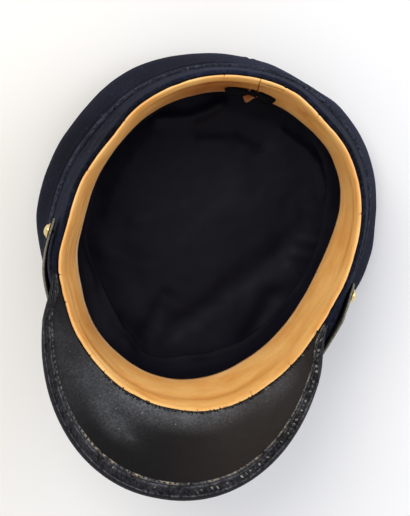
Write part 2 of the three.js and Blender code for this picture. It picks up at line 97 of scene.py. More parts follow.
def ovalPoint(row, turn):  # a row is depth, side, end, shift, lean, egg
    depth, side, end, shift, lean, egg = row
    back = bluntShare(math.sin(turn), head["bluntness"])
    right = bluntShare(math.cos(turn), head["bluntness"])
    wave = hills(head["rimWaves"], turn) * (1 - smoothStep(depth, *head["waveDepths"]))
    along = (head["halfLength"] + end + wave) * back
    across = (head["halfWidth"] + side + wave) * right * (1 + egg * back)
    return Vector((across + lean * along, along + shift, head["capHeight"] - depth))


def pushedRow(row, out, deeper=0.0):
    depth, side, end = row[:3]
    return (depth + deeper, side + out, end + out) + row[3:]


def rowAt(rows, value):  # the row at a value of the first column, which is in order
    after = max(1, next(i for i, row in enumerate(rows) if row[0] >= value))
    before, after = rows[after - 1], rows[after]
    share = (value - before[0]) / (after[0] - before[0])
    return tuple(between(a, b, share) for a, b in zip(before, after))


def smoothRows(rows, steps):  # a smooth curve through the rows, with steps spans between each pair
    made = []
    for i in range(len(rows) - 1):
        p0, p1, p2, p3 = (rows[min(max(i + k, 0), len(rows) - 1)] for k in (-1, 0, 1, 2))
        for s in (k / steps for k in range(steps)):
            made.append(tuple(
                0.5 * (2 * b + (c - a) * s + (2 * a - 5 * b + 4 * c - d) * s ** 2
                       + (3 * b - a - 3 * c + d) * s ** 3)
                for a, b, c, d in zip(p0, p1, p2, p3)))
    return made + [rows[-1]]


def evenTurns(count):
    return [2 * math.pi * i / count for i in range(count)]


def runLengths(points):  # metres travelled along a closed line of points
    run = [0.0]
    for here, ahead in zip(points, points[1:] + points[:1]):
        run.append(run[-1] + (ahead - here).length * mm)
    return run


def gridPiece(name, grid, marks=None, ringRows=False, ringColumns=True):
    rows, columns = len(grid), len(grid[0])
    faces, corners = [], []
    for r in range(rows if ringRows else rows - 1):
        for c in range(columns if ringColumns else columns - 1):
            r2, c2 = (r + 1) % rows, (c + 1) % columns
            faces.append((r * columns + c, r * columns + c2, r2 * columns + c2, r2 * columns + c))
            corners += [(r, c), (r, c + 1), (r + 1, c + 1), (r + 1, c)]
    if ringRows != ringColumns:  # closes the ends of a strip whose section rings round
        ends = [[r * columns + c for r in range(rows)] for c in (0, columns - 1)]
        if ringColumns:
            ends = [[r * columns + c for c in range(columns)] for r in (0, rows - 1)]
        faces += [tuple(reversed(ends[0])), tuple(ends[1])]
    mesh = bpy.data.meshes.new(name)
    mesh.from_pydata([p * mm for row in grid for p in row], [], faces)
    widths = runLengths(grid[rows // 2])
    lengths = runLengths([row[0] for row in grid])
    layer = mesh.uv_layers.new(name="UVMap")  # laid out in metres, so patterns keep their real size
    for i, (r, c) in enumerate(corners):
        layer.data[i].uv = (widths[c], lengths[r])
    for mark, values in (marks or {}).items():
        mesh.attributes.new(mark, "FLOAT", "POINT").data.foreach_set("value", values)
    return meshPiece(name, mesh)


def meshPiece(name, mesh):
    mesh.validate()
    mesh.update()
    volume = 0.0
    for face in mesh.polygons:
        p = [mesh.vertices[v].co for v in face.vertices]
        for k in range(1, len(p) - 1):
            volume += p[0].dot(p[k].cross(p[k + 1]))
    if volume < 0:
        mesh.flip_normals()
    mesh.shade_smooth()
    piece = bpy.data.objects.new(name, mesh)
    bpy.context.collection.objects.link(piece)
    return piece


def threadTube(path, radius, shares, sides):  # closed pill of thread along a short path, as points and faces
    points, faces = [], []
    for i, (p, share) in enumerate(zip(path, shares)):
        ahead = path[min(i + 1, len(path) - 1)] - path[max(i - 1, 0)]
        side = ahead.cross(Vector((0.31, 0.17, 0.93))).normalized()  # a slanting up that no path runs along
        rise = side.cross(ahead).normalized()
        for a in evenTurns(sides):
            points.append(p + (side * math.cos(a) + rise * math.sin(a)) * (radius * share))
    for i in range(len(path) - 1):
        for k in range(sides):
            k2 = (k + 1) % sides
            faces.append((i * sides + k, i * sides + k2, (i + 1) * sides + k2, (i + 1) * sides + k))
    faces.append(tuple(reversed(range(sides))))
    faces.append(tuple((len(path) - 1) * sides + k for k in range(sides)))
    return points, faces


def dress(piece, material, slot, *nodes):
    piece.data.materials.clear()
    piece.data.materials.append(material)
    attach(piece, "root")
    if nodes:
        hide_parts(*nodes)


def dressThreads(name, tubes, material, slot):  # many small closed shapes as one piece
    points, faces = [], []
    for tubePoints, tubeFaces in tubes:
        start = len(points)
        points += [p * mm for p in tubePoints]
        faces += [tuple(start + v for v in face) for face in tubeFaces]
    mesh = bpy.data.meshes.new(name)
    mesh.from_pydata(points, [], faces)
    dress(meshPiece(name, mesh), material, slot)


# Material tools

def linear(hexColour):
    channels = [int(hexColour[i:i + 2], 16) / 255 for i in (1, 3, 5)]
    return tuple(c / 12.92 if c <= 0.04045 else ((c + 0.055) / 1.055) ** 2.4 for c in channels) + (1.0,)


def perMetre(sizeMm):  # texture scale that makes a pattern about sizeMm across
    return 1000.0 / sizeMm


def setSockets(tree, node, values):  # each socket gets a number, a hex colour or a link from another node
    for socket, value in values.items():
        if isinstance(value, bpy.types.NodeSocket):
            tree.links.new(value, node.inputs[socket])
        else:
            node.inputs[socket].default_value = linear(value) if isinstance(value, str) else value


def addNode(tree, kind, values, output=0, **settings):  # gives the node's output
    node = tree.nodes.new("ShaderNode" + kind)
    for name, value in settings.items():
        setattr(node, name, value)
    setSockets(tree, node, values)
    return node.outputs[output]


def makeMaterial(name, recipe, *looks):  # a recipe adds nodes and gives what its shader's sockets get
    material = bpy.data.materials.new(name)
    material.use_nodes = True
    tree = material.node_tree
    setSockets(tree, tree.nodes["Principled BSDF"], recipe(partial(addNode, tree), *looks))
    return material


colourMix = {"output": 2, "data_type": "RGBA"}  # settings of a node that mixes two colours


# Fulled wool melton: a felted nap hides the weave, so it is dull and a little mottled, with specks of lint.
# The nap is drawn coarse to show. A mark adds painted light, which makes it paler, or painted shade, which
# makes it darker where the mark is below nought
def woolCloth(add, deep, pale, napMm, wornMm, lint):
    place = add("TexCoord", {}, "Object")
    worn = add("TexNoise", {"Vector": place, "Scale": perMetre(wornMm), "Detail": 3.0})
    nap = add("TexNoise", {"Vector": place, "Scale": perMetre(napMm), "Detail": 5.0, "Roughness": 0.6})
    tufts = add("MapRange", {"Value": nap, "From Min": 0.33, "From Max": 0.69})
    rubbed = add("MapRange", {"Value": worn, "From Min": 0.3, "From Max": 0.7, "To Min": 0.35})
    shade = add("Math", {0: tufts, 1: rubbed}, operation="MULTIPLY")
    lightAndShade = add("Attribute", {}, "Fac", attribute_name="lightAndShade")
    napAndPaintedLight = add("Math", {0: shade, 1: lightAndShade}, operation="ADD")
    cloth = add("Mix", {0: napAndPaintedLight, 6: deep, 7: pale}, **colourMix)
    flecks = add("TexVoronoi", {"Vector": place, "Scale": perMetre(9.0)})
    fleck = add("MapRange", {"Value": flecks, "From Min": 0.05, "From Max": 0.03, "To Max": lint})
    colour = add("Mix", {0: fleck, 6: cloth, 7: "#8C8F98"}, **colourMix)
    grain = add("Bump", {"Strength": 0.7, "Distance": 0.4 * mm, "Height": nap})
    return {"Base Color": colour, "Normal": grain, "Roughness": 0.92, "Specular IOR Level": 0.08,
            "Sheen Weight": 0.04, "Sheen Roughness": 0.4, "Sheen Tint": "#9AA6D8"}


# Cotton sateen lining: long floats give black cloth a faint blue sheen; the weave is drawn coarse to show
def sateenCloth(add):
    place = add("TexCoord", {}, "Object")
    weave = add("TexWave", {"Vector": place, "Scale": perMetre(8.0), "Distortion": 2.0,
                            "Detail": 2.0}, "Fac", bands_direction="DIAGONAL")
    cloud = add("TexNoise", {"Vector": place, "Scale": perMetre(30), "Detail": 4.0})
    colour = add("Mix", {0: cloud, 6: "#0A0B12", 7: "#161722"}, **colourMix)
    threads = add("Bump", {"Strength": 0.15, "Distance": 0.1 * mm, "Height": weave})
    return {"Base Color": colour, "Normal": threads, "Roughness": 0.5, "Specular IOR Level": 0.1,
            "Sheen Weight": 0.02, "Sheen Roughness": 0.4, "Sheen Tint": "#9AA0B8"}


# Vegetable-tanned sheepskin: smooth and undyed, cloudy, with fine lines along it where the lines mark is,
# darker where heads have soiled it and as painted shade, and pale where the raw mark shows a cut edge or a
# painted highlight
def tanSkin(add):
    marks = {mark: add("Attribute", {}, "Fac", attribute_name=mark)
             for mark in ("lines", "soilAndShade", "rawEdgeAndHighlight")}
    laid = add("TexCoord", {}, "UV")
    patchScale = (perMetre(29.41), perMetre(11.765), 1.0)  # clouds longer along the leather than across it
    patchWays = add("Mapping", {"Vector": laid, "Scale": patchScale})
    cloud = add("TexNoise", {"Vector": patchWays, "Scale": 1.0, "Detail": 6.0, "Roughness": 0.6})
    lineScale = (perMetre(50.0), perMetre(1.4286), 1.0)
    lineWays = add("Mapping", {"Vector": laid, "Scale": lineScale})
    lines = add("TexNoise", {"Vector": lineWays, "Scale": 1.0, "Detail": 3.0})
    tone = add("Mix", {0: 0.08, 2: cloud, 3: lines})
    spread = add("MapRange", {"Value": tone, "From Min": 0.34, "From Max": 0.66})
    skin = add("Mix", {0: spread, 6: "#E8A352", 7: "#F9C678"}, **colourMix)
    crease = add("MapRange", {"Value": lines, "From Min": 0.57, "From Max": 0.67, "To Max": 0.75})
    drawn = add("Math", {0: crease, 1: marks["lines"]}, operation="MULTIPLY")
    lined = add("Mix", {0: drawn, 6: skin, 7: "#A8642A"}, **colourMix)
    soiledShaded = add("Mix", {0: marks["soilAndShade"], 6: lined, 7: "#8E4C18"}, **colourMix)
    colour = add("Mix", {0: marks["rawEdgeAndHighlight"], 6: soiledShaded, 7: "#F3DDB4"}, **colourMix)
    gloss = add("MapRange", {"Value": cloud, "To Min": 0.42, "To Max": 0.62})
    place = add("TexCoord", {}, "Object")
    pores = add("TexNoise", {"Vector": place, "Scale": perMetre(1.6), "Detail": 4.0})
    grain = add("Bump", {"Strength": 0.35, "Distance": 0.2 * mm, "Height": pores})
    return {"Base Color": colour, "Roughness": gloss, "Normal": grain, "Specular IOR Level": 0.36}


# Black finished cowhide: a thin worn coat over grain, browner where the warm mark is high, dusty grey where
# the rub mark is, which is wear and, near the peak's seam, also painted sheen, with small chips, and bare
# pale hide where the bare mark is
def blackHide(add, base, warm, rubbed, roughness):
    place = add("TexCoord", {}, "Object")
    marks = {mark: add("Attribute", {}, "Fac", attribute_name=mark)
             for mark in ("warm", "rubAndSheen", "bare")}
    coat = add("Mix", {0: marks["warm"], 6: base, 7: warm}, **colourMix)
    cloud = add("TexNoise", {"Vector": place, "Scale": perMetre(15), "Detail": 8.0, "Roughness": 0.7})
    patch = add("MapRange", {"Value": cloud, "From Min": 0.3, "From Max": 0.7, "To Min": 0.4})
    scuffs = add("TexNoise", {"Vector": place, "Scale": perMetre(1.3), "Detail": 4.0})
    scuff = add("MapRange", {"Value": scuffs, "From Min": 0.36, "From Max": 0.64, "To Min": 0.6,
                             "To Max": 1.35})
    patchy = add("Math", {0: patch, 1: scuff}, operation="MULTIPLY")
    worn = add("Math", {0: marks["rubAndSheen"], 1: patchy}, operation="MULTIPLY")
    grey = add("Mix", {0: worn, 6: coat, 7: rubbed}, **colourMix)
    chips = add("TexVoronoi", {"Vector": place, "Scale": perMetre(5.0)})
    chip = add("MapRange", {"Value": chips, "From Min": 0.1, "From Max": 0.06})
    chipped = add("Math", {0: chip, 1: worn}, operation="MULTIPLY")
    flecked = add("Mix", {0: chipped, 6: grey, 7: "#C4C2BC"}, **colourMix)
    colour = add("Mix", {0: marks["bare"], 6: flecked, 7: "#B0A48E"}, **colourMix)
    dull = add("MapRange", {"Value": worn, "To Min": roughness, "To Max": roughness + 0.25})
    pebbles = add("TexVoronoi", {"Vector": place, "Scale": perMetre(1.3)})
    fine = add("TexNoise", {"Vector": place, "Scale": perMetre(2.4), "Detail": 4.0})
    relief = add("Math", {0: pebbles, 1: fine}, operation="ADD")
    grain = add("Bump", {"Strength": 0.3, "Distance": 0.25 * mm, "Height": relief})
    return {"Base Color": colour, "Roughness": dull, "Normal": grain, "Specular IOR Level": 0.095}


# Gilt brass stamping: polished, with a little tarnish in patches
def giltMetal(add):
    place = add("TexCoord", {}, "Object")
    tarnish = add("TexNoise", {"Vector": place, "Scale": perMetre(3), "Detail": 4.0})
    colour = add("Mix", {0: tarnish, 6: "#CDA75A", 7: "#F1DFAC"}, **colourMix)
    dull = add("MapRange", {"Value": tarnish, "To Min": 0.16, "To Max": 0.36})
    return {"Base Color": colour, "Roughness": dull, "Metallic": 1.0}


# Woven silk ribbon: dull black with fine ribs across its width, drawn coarse to show
def silkRibbon(add):
    laid = add("TexCoord", {}, "UV")
    ribs = add("TexWave", {"Vector": laid, "Scale": perMetre(5.0)}, "Fac", bands_direction="X")
    colour = add("Mix", {0: ribs, 6: "#040405", 7: "#0C0D11"}, **colourMix)
    relief = add("Bump", {"Strength": 0.4, "Distance": 0.2 * mm, "Height": ribs})
    return {"Base Color": colour, "Normal": relief, "Roughness": 0.7, "Specular IOR Level": 0.06}


# Waxed linen thread: slightly shiny, dusty in places
def linenThread(add, deep, dusty):
    place = add("TexCoord", {}, "Object")
    dust = add("TexNoise", {"Vector": place, "Scale": perMetre(2.2), "Detail": 3.0})
    share = add("MapRange", {"Value": dust, "From Min": 0.42, "From Max": 0.75})
    colour = add("Mix", {0: share, 6: deep, 7: dusty}, **colourMix)
    return {"Base Color": colour, "Roughness": 0.5, "Specular IOR Level": 0.2}


# Matt white paper sheet under the cap, with painted warm light at the left
def paperSheet(add):
    place = add("TexCoord", {}, "Object")
    across = add("SeparateXYZ", {0: place}, "X")
    side = add("MapRange", {"Value": across, "From Min": -0.16, "From Max": 0.1})
    colour = add("Mix", {0: side, 6: "#F2F0EA", 7: "#F1F1F1"}, **colourMix)
    return {"Base Color": colour, "Roughness": 0.85, "Specular IOR Level": 0.2}


crownWool = makeMaterial("woolMelton", woolCloth, "#11121A", "#222535", 1.1, 22, 0.3)
bandWool = makeMaterial("woolBandCloth", woolCloth, "#06070C", "#23283D", 2.0, 6, 0.6)
# a paler copy of the wool: painted highlight on the welt's raised ridge
weltWoolHighlight = makeMaterial("woolWeltHighlightCloth", woolCloth, "#14151B", "#474B5A", 1.7, 7, 0.5)
liningSateen = makeMaterial("cottonSateen", sateenCloth)
tanLeather = makeMaterial("tannedSheepskin", tanSkin)
peakLeather = makeMaterial("blackCowhide", blackHide, "#0C0B0C", "#1F1916", "#74767A", 0.46)
bindingLeather = makeMaterial("bindingHide", blackHide, "#0C0D11", "#0C0D11", "#6C6D74", 0.58)
strapLeather = makeMaterial("strapHide", blackHide, "#131110", "#131110", "#8F897A", 0.45)
giltBrass = makeMaterial("giltBrass", giltMetal)
blackRibbon = makeMaterial("wovenRibbon", silkRibbon)
blackThread = makeMaterial("waxedThread", linenThread, "#0E0E0F", "#3A3937")
navyThread = makeMaterial("navyThread", linenThread, "#13151D", "#2A2E3B")
brownThread = makeMaterial("brownThread", linenThread, "#4A2A12", "#7A4A22")
dustyThread = makeMaterial("wornThread", linenThread, "#1C1C1D", "#A29E96")
print("materials made")

# Camera: the place it had over the opening, from the rim's centre
camera = {
    "distance": 600.0,
    "tiltBack": 6.69,  # degrees towards the cap's back
    "tiltLeft": 4.65,
    "roll": 12.0,
    "lens": 70.4,
    "aimRight": -2.9,  # what it points at, off the rim's centre, in mm across the picture
    "aimUp": -7.6,
}


def placeCamera():
    leftwards, backwards = (math.sin(math.radians(camera[tilt])) for tilt in ("tiltLeft", "tiltBack"))
    towards = Vector((-leftwards, backwards, 0))
    towards.z = math.sqrt(1 - towards.length_squared)
    up = (Vector((0, 1, 0)) - towards * towards.y).normalized()
    right = up.cross(towards)
    roll = math.radians(camera["roll"])
    right, up = right * math.cos(roll) + up * math.sin(roll), up * math.cos(roll) - right * math.sin(roll)
    rim = Vector((0, 0, head["capHeight"]))
    eye = rim + towards * camera["distance"]
    back = (eye - rim - right * camera["aimRight"] - up * camera["aimUp"]).normalized()
    right = up.cross(back).normalized()
    up = back.cross(right)
    data = bpy.data.cameras.new("camera")
    data.lens = camera["lens"]
    eyePiece = bpy.data.objects.new("camera", data)
    bpy.context.collection.objects.link(eyePiece)
    eyePiece.matrix_world = Matrix.Translation(eye * mm) @ Matrix((right, up, back)).transposed().to_4x4()
    bpy.context.scene.camera = eyePiece


placeCamera()
print("camera placed")

# Crown: cloth side and top, a row for each section. Columns: depth, side, end, shift, lean, egg
crown = {
    "cloth": 2.0,
    "columns": 360,
    "side": [
        (40.6, 15.4, 10.0, 0.6, 0.092, 0.032),
        (45.0, 18.2, 11.0, 1.8, 0.080, 0.040),
        (51.0, 21.8, 11.6, 3.2, 0.064, 0.050),
        (57.0, 24.6, 12.0, 4.4, 0.052, 0.060),
        (63.0, 26.0, 12.1, 5.0, 0.043, 0.065),
        (70.6, 25.0, 11.2, 5.0, 0.043, 0.065),
    ],
    "sideSteps": 8,
    "top": [
        (71.2, 24.9, 11.1, 5.0, 0.043, 0.065),
        (77.0, 21.8, 8.2, 4.6, 0.043, 0.065),
        (82.5, 15.6, 2.1, 3.8, 0.043, 0.060),
        (86.4, 6.6, -7.0, 2.6, 0.043, 0.050),
        (88.0, -6.0, -20.0, 1.4, 0.043, 0.040),
    ],
    "topSteps": 7,
    "flatFrom": 86.0,  # past this depth the top is pressed flat
    # worn shape: turn and reach in degrees, how far out in mm
    "dents": [
        (70, 16, -2.4), (318, 20, -3.0), (222, 18, -2.6), (356, 20, 2.8), (186, 17, 2.3), (150, 26, -2.0),
    ],
    "sideDents": (44, 60),  # depths between which the dents come
    "topDents": (70, 84),  # and go
    "uneven": [(0.5, 34, 1), (0.25, 12, 2)],  # height, size and seed
    # edges tucked in: depths that each tuck lies between, and how far in it is
    "weltTuck": (41.0, 42.5, 0.9),
    "sideTuck": (68.5, 70.6, 0.5),
    "topTuck": (71.2, 73.0, 0.5),
    "fold": (43.4, 1.9),  # ridge of its turned edge beside the welt: depth and reach
    "foldTall": (0.3, 0.9),  # least and most
    "foldMost": (40, 70),  # turn and reach of the most
    "seamTurns": (90, 270),
    "seamRadius": 105.0,  # makes arcs of the seams' angles
    "seamGroove": (0.4, 1.3),  # depth and reach
    "seamRidges": (0.35, 2.2, 1.6),  # height, how far off the groove, reach
    # painted light where the cloth is paler, painted shade where it is below nought: turn, reach, how much
    "paintedLightShade": [(74, 34, 1.1), (34, 26, 0.45), (167, 30, -0.3)],
}


def crownSeam(turn):  # the join of the side's two halves, pressed open
    arcs = [math.radians(turnAway(turn, at)) * crown["seamRadius"] for at in crown["seamTurns"]]
    deep, grooveReach = crown["seamGroove"]
    tall, off, ridgeReach = crown["seamRidges"]
    groove = max(bump(arc, grooveReach) for arc in arcs)
    return -deep * groove + tall * max(bump(abs(arc) - off, ridgeReach) for arc in arcs)


def crownFold(turn):
    at, reach = crown["foldMost"]
    return between(*crown["foldTall"], bump(turnAway(turn, at), reach))


def crownPoint(row, turn, dentShare):
    out = hills(crown["dents"], turn) * dentShare + uneven(ovalPoint(row, turn), *crown["uneven"])
    return ovalPoint(pushedRow(row, out), turn)


def makeCrownSide():
    turns = evenTurns(crown["columns"])
    weltLow, weltHigh, weltIn = crown["weltTuck"]
    hemLow, hemHigh, hemIn = crown["sideTuck"]
    foldDepth, foldReach = crown["fold"]
    grid = []
    for row in smoothRows(crown["side"], crown["sideSteps"]):
        dented = smoothStep(row[0], *crown["sideDents"])
        clear = smoothStep(row[0], weltLow, weltHigh)
        fold = bump(row[0] - foldDepth, foldReach)
        tucked = pushedRow(row, -hemIn * smoothStep(row[0], hemLow, hemHigh) - weltIn * (1 - clear))
        grid.append([crownPoint(pushedRow(tucked, crownSeam(t) * clear + fold * crownFold(t)), t, dented)
                     for t in turns])
    for row in reversed(crown["side"]):
        dented = smoothStep(row[0], *crown["sideDents"])
        grid.append([crownPoint(pushedRow(row, -crown["cloth"]), t, dented) for t in turns])
    # painted light on the crown's upper right and painted shade at its left
    lightAndShade = [hills(crown["paintedLightShade"], t) for t in turns] * len(grid)
    dress(gridPiece("crownSide", grid, {"lightAndShade": lightAndShade}, ringRows=True), crownWool, "wool_cloth", "crown_side")


def makeCrownTop():
    turns = evenTurns(crown["columns"])
    low, high, inwards = crown["topTuck"]
    cloth = crown["cloth"]
    rows = [(row[0], pushedRow(row, -cloth, 0 if row is crown["top"][0] else -cloth))
            for row in reversed(crown["top"])]
    rows += [(row[0], pushedRow(row, -inwards * (1 - smoothStep(row[0], low, high))))
             for row in smoothRows(crown["top"], crown["topSteps"])]
    grid = []
    for depth, row in rows:
        dented = 1 - smoothStep(depth, *crown["topDents"])
        grid.append([crownPoint(row, t, dented) if depth < crown["flatFrom"] else ovalPoint(row, t)
                     for t in turns])
    dress(gridPiece("crownTop", grid), crownWool, "wool_cloth", "crown_top")


makeCrownSide()
makeCrownTop()
print("crown made")

# Band: rough wool over a stiffener, folded under at the rim and stitched below the welt
band = {
    "wall": 2.6,
    "columns": 720,
    "outside": [
        (0.1, 3.8, 3.8, 0.0, 0.067, 0.016),
        (0.5, 4.9, 4.8, 0.0, 0.067, 0.016),
        (2.4, 5.9, 5.7, 0.0, 0.067, 0.016),
        (8.0, 7.3, 6.3, 0.0, 0.071, 0.018),
        (14.0, 8.8, 7.0, 0.0, 0.075, 0.020),
        (20.0, 10.2, 7.6, 0.0, 0.080, 0.022),
        (26.0, 11.6, 8.2, 0.0, 0.085, 0.025),
        (31.0, 12.9, 8.7, 0.0, 0.090, 0.027),
        (36.4, 14.2, 9.2, 0.0, 0.095, 0.030),
    ],
    "steps": 6,
    "insideRows": (-1, 4, 2),  # rows of the outside that its inner face follows
    "hemOut": 2.9,  # where the cloth that is folded under ends, and its depths
    "hemDepths": (2.0, 0.3),
    "groove": (34.6, 2.2, 1.2),  # line of stitches that holds it to the crown: depth, reach, how far in
    # painted shade darkening the cloth in the stitch groove
    "grooveDark": 0.7,
    # painted light and shade round the band: turn, reach, how much
    "paintedLightShade": [(151, 34, -0.22), (102, 24, 0.25), (44, 30, -0.2)],
    "lumps": (0.35, 9, 3),  # height, size and seed
    "lumpDepths": (2, 8),  # depths between which the lumps come
    "fluff": (0.18, 2.2, 4),
    "bulge": (336, 24, 5.4),  # it stands out towards the strap at the right: turn, reach, how far
    "bulgeDepth": (6.5, 7.0),  # depth of the bulge's middle, and reach
    "stitches": 150,
    "stitchShare": 0.55,  # of the way to the next stitch
    "stitchRadii": (0.12, 0.3, 0.34, 0.3, 0.12),
    "stitchRise": 0.3,
}


def makeBand():
    turns = evenTurns(band["columns"])
    grooveDepth, grooveReach, grooveIn = band["groove"]
    bulgeDepth, bulgeReach = band["bulgeDepth"]
    grid, lightAndShade = [], []
    for row in smoothRows(band["outside"], band["steps"]):
        groove = bump(row[0] - grooveDepth, grooveReach)
        lumpy = smoothStep(row[0], *band["lumpDepths"])
        full = bump(row[0] - bulgeDepth, bulgeReach)
        # painted light and shade round the band, less painted shade in the stitch groove
        lightAndShade += [hills(band["paintedLightShade"], t) - band["grooveDark"] * groove for t in turns]
        line = []
        for t in turns:
            spot = ovalPoint(row, t)
            out = uneven(spot, band["lumps"]) * lumpy + uneven(spot, band["fluff"])
            out += full * hills([band["bulge"]], t) - groove * grooveIn
            line.append(ovalPoint(pushedRow(row, out), t))
        grid.append(line)
    for k in band["insideRows"]:
        grid.append([ovalPoint(pushedRow(band["outside"][k], -band["wall"]), t) for t in turns])
    hem = band["hemOut"]
    for depth in band["hemDepths"]:
        grid.append([ovalPoint((depth, hem, hem) + head["rimShape"], t) for t in turns])
    lightAndShade += [0.0] * (len(grid) * len(turns) - len(lightAndShade))
    dress(gridPiece("bandCloth", grid, {"lightAndShade": lightAndShade}, ringRows=True), bandWool, "wool_cloth", "band")


def makeBandStitches():
    grooveDepth, _, grooveIn = band["groove"]
    row = next(r for r in smoothRows(band["outside"], band["steps"]) if r[0] >= grooveDepth)
    sunk = pushedRow(row, band["stitchRise"] - grooveIn)
    steps = len(band["stitchRadii"]) - 1
    span = band["stitchShare"] * 2 * math.pi / band["stitches"]
    tubes = []
    for start in evenTurns(band["stitches"]):
        path = [ovalPoint(sunk, start + span * k / steps) for k in range(steps + 1)]
        tubes.append(threadTube(path, 1.0, band["stitchRadii"], 6))
    dressThreads("bandStitches", tubes, navyThread, "wool_cloth")


makeBand()
makeBandStitches()
print("band made")

# Welt: cloth rolled over a cord, sewn between band and crown
welt = {
    "ring": (38.4, 14.7, 9.5, 0.3, 0.095, 0.030),
    "radius": 1.7,
    "fullness": 1.05,
    "uneven": [(0.12, 7, 5), (0.1, 2.2, 22)],  # share of the radius, size and seed
    "sides": 14,
    "columns": 420,
}


def makeWelt():
    grid = []
    for a in evenTurns(welt["sides"]):
        line = []
        for t in evenTurns(welt["columns"]):
            spot = ovalPoint(welt["ring"], t)
            radius = welt["radius"] * (welt["fullness"] + uneven(spot, *welt["uneven"]))
            line.append(ovalPoint(pushedRow(welt["ring"], radius * math.cos(a), radius * math.sin(a)), t))
        grid.append(line)
    dress(gridPiece("welt", grid, ringRows=True), weltWoolHighlight, "wool_cloth", "welt")


makeWelt()
print("welt made")

# Lining: loose side cloth whose hem lies on the top panel. Columns as for the crown
lining = {
    "cloth": 0.8,
    "columns": 300,
    "side": [
        (18.0, 0.3, 0.3, 0.0, 0.086, 0.040),
        (38.0, 1.4, 1.2, 0.4, 0.100, 0.060),
        (54.0, 3.0, 1.8, 0.8, 0.100, 0.060),
        (66.0, 1.6, 0.8, 1.0, 0.100, 0.060),
        (73.0, -2.4, -3.0, 1.0, 0.100, 0.060),
        (77.0, -6.4, -7.0, 1.0, 0.100, 0.060),
    ],
    "sideSteps": 9,
    # folds of the side: turn and reach in degrees, how far out in mm
    "folds": [
        (205, 26, -2.0), (250, 14, -1.2), (288, 12, -1.2), (335, 16, -1.4), (60, 13, -1.2), (112, 12, -1.2),
    ],
    "foldDepths": [(40, 62), (72, 77)],  # depths between which the folds come, and go
    "rumples": (0.8, 14, 6),  # height, size and seed
    "rumpleDepths": (36, 46),
    "hems": [(228, 40, -8.5), (290, 26, -2.5), (205, 14, -1.5), (250, 10, -2.0)],  # turn, reach, how far out
    "hemWave": (1.2, 21, 7),
    "hemDepths": (60, 77),
    "hemTurn": (0.5, 1.0),  # how far out and down the hem's edge is turned
    "backing": (1.4, 0.4),  # and the cloth's outer face lies
    "rings": 60,
    "floorDepth": 79.6,
    "floorLeast": 3.4,  # height that the panel never goes below
    "floorOut": 2.0,  # how far it reaches under the hem
    "floorDrop": (-0.4, 2.2),  # how far its edge sinks at the right, and at the left below the hem
    "dropTurns": (15, 95, 140),  # the middle of the right, and degrees from it between which the drop grows
    "dropShares": (0.8, 1.0),  # shares of the way out between which it sinks
    "floorUneven": [(0.45, 9, 8), (0.7, 23, 9)],
    # folds of the top panel: points x, y along each, half width and height
    "creases": [
        ([(56, 2), (52, -7), (40, -20), (29, -31), (18, -46), (7, -59), (-4, -68)], 9.0, -2.6),
        ([(-17, -50), (-21, -68), (-26, -79), (-28, -92)], 6.0, -2.4),
        ([(56, -36), (51, -53), (44, -70)], 7.0, -2.2),
        ([(84, 8), (66, 6)], 3.5, 1.0),
        ([(82, -6), (64, -4)], 3.5, 0.9),
        ([(76, -22), (62, -14)], 3.5, 0.9),
        ([(-46, 66), (-25, 71), (-13, 78), (-6, 84)], 4.0, 2.6),
        ([(-14, 66), (8, 70), (26, 66)], 7.0, -2.6),
        ([(38, 74), (57, 66), (67, 58), (76, 42)], 3.5, 1.8),
        ([(-70, -2), (-52, -26), (-44, -46)], 14.0, -1.6),
        ([(24, 14), (6, -6)], 26.0, 2.4),
    ],
}


def creaseHeight(spot):
    height = 0.0
    here = Vector((spot.x, spot.y))
    for places, halfWidth, tall in lining["creases"]:
        offs = []
        for start, end in zip(places, places[1:]):
            a, along = Vector(start), Vector(end) - Vector(start)
            share = clamped((here - a).dot(along) / along.length_squared)
            offs.append((here - a - along * share).length)
        height += tall * math.exp(-(min(offs) / halfWidth) ** 2)
    return height


def liningPoint(row, turn):
    depth = row[0]
    spot = ovalPoint(row, turn)
    come, go = lining["foldDepths"]
    push = hills(lining["folds"], turn) * smoothStep(depth, *come) * (1 - smoothStep(depth, *go))
    push += uneven(spot, lining["rumples"]) * smoothStep(depth, *lining["rumpleDepths"])
    hem = hills(lining["hems"], turn) + uneven(spot, lining["hemWave"])
    return ovalPoint(pushedRow(row, push + hem * smoothStep(depth, *lining["hemDepths"])), turn)


def makeLiningSide():
    turns = evenTurns(lining["columns"])
    rows = smoothRows(lining["side"], lining["sideSteps"])
    inside = [[liningPoint(row, t) for t in turns] for row in rows]

    def moved(line, out, down):
        return [p + Vector((p.x, p.y, 0)).normalized() * out - Vector((0, 0, down)) for p in line]

    outside = [moved(line, *lining["backing"]) for line in reversed(inside)]
    grid = inside + [moved(inside[-1], *lining["hemTurn"])] + outside
    dress(gridPiece("liningSide", grid, ringRows=True), liningSateen, "lining_cloth", "lining_side")


def makeLiningTop():
    turns = evenTurns(lining["columns"])
    edge = [liningPoint(pushedRow(lining["side"][-1], lining["floorOut"]), t) for t in turns]
    centre = sum(edge, Vector()) / len(edge)
    right, near, far = lining["dropTurns"]
    drops = [between(*lining["floorDrop"], smoothStep(abs(turnAway(t, right)), near, far)) for t in turns]
    upper = []
    for k in range(lining["rings"]):
        share = 1 - k / lining["rings"]
        ring = []
        for p, drop in zip(edge, drops):
            spot = centre + (p - centre) * share
            level = head["capHeight"] - lining["floorDepth"]
            level -= drop * smoothStep(share, *lining["dropShares"])
            level += creaseHeight(spot) + uneven(spot, *lining["floorUneven"])
            spot.z = max(level, lining["floorLeast"])
            ring.append(spot)
        upper.append(ring)
    lower = [[Vector((p.x, p.y, p.z - lining["cloth"])) for p in ring] for ring in reversed(upper)]
    dress(gridPiece("liningTop", lower + upper), liningSateen, "lining_cloth", "lining_top")


makeLiningSide()
makeLiningTop()
print("lining made")

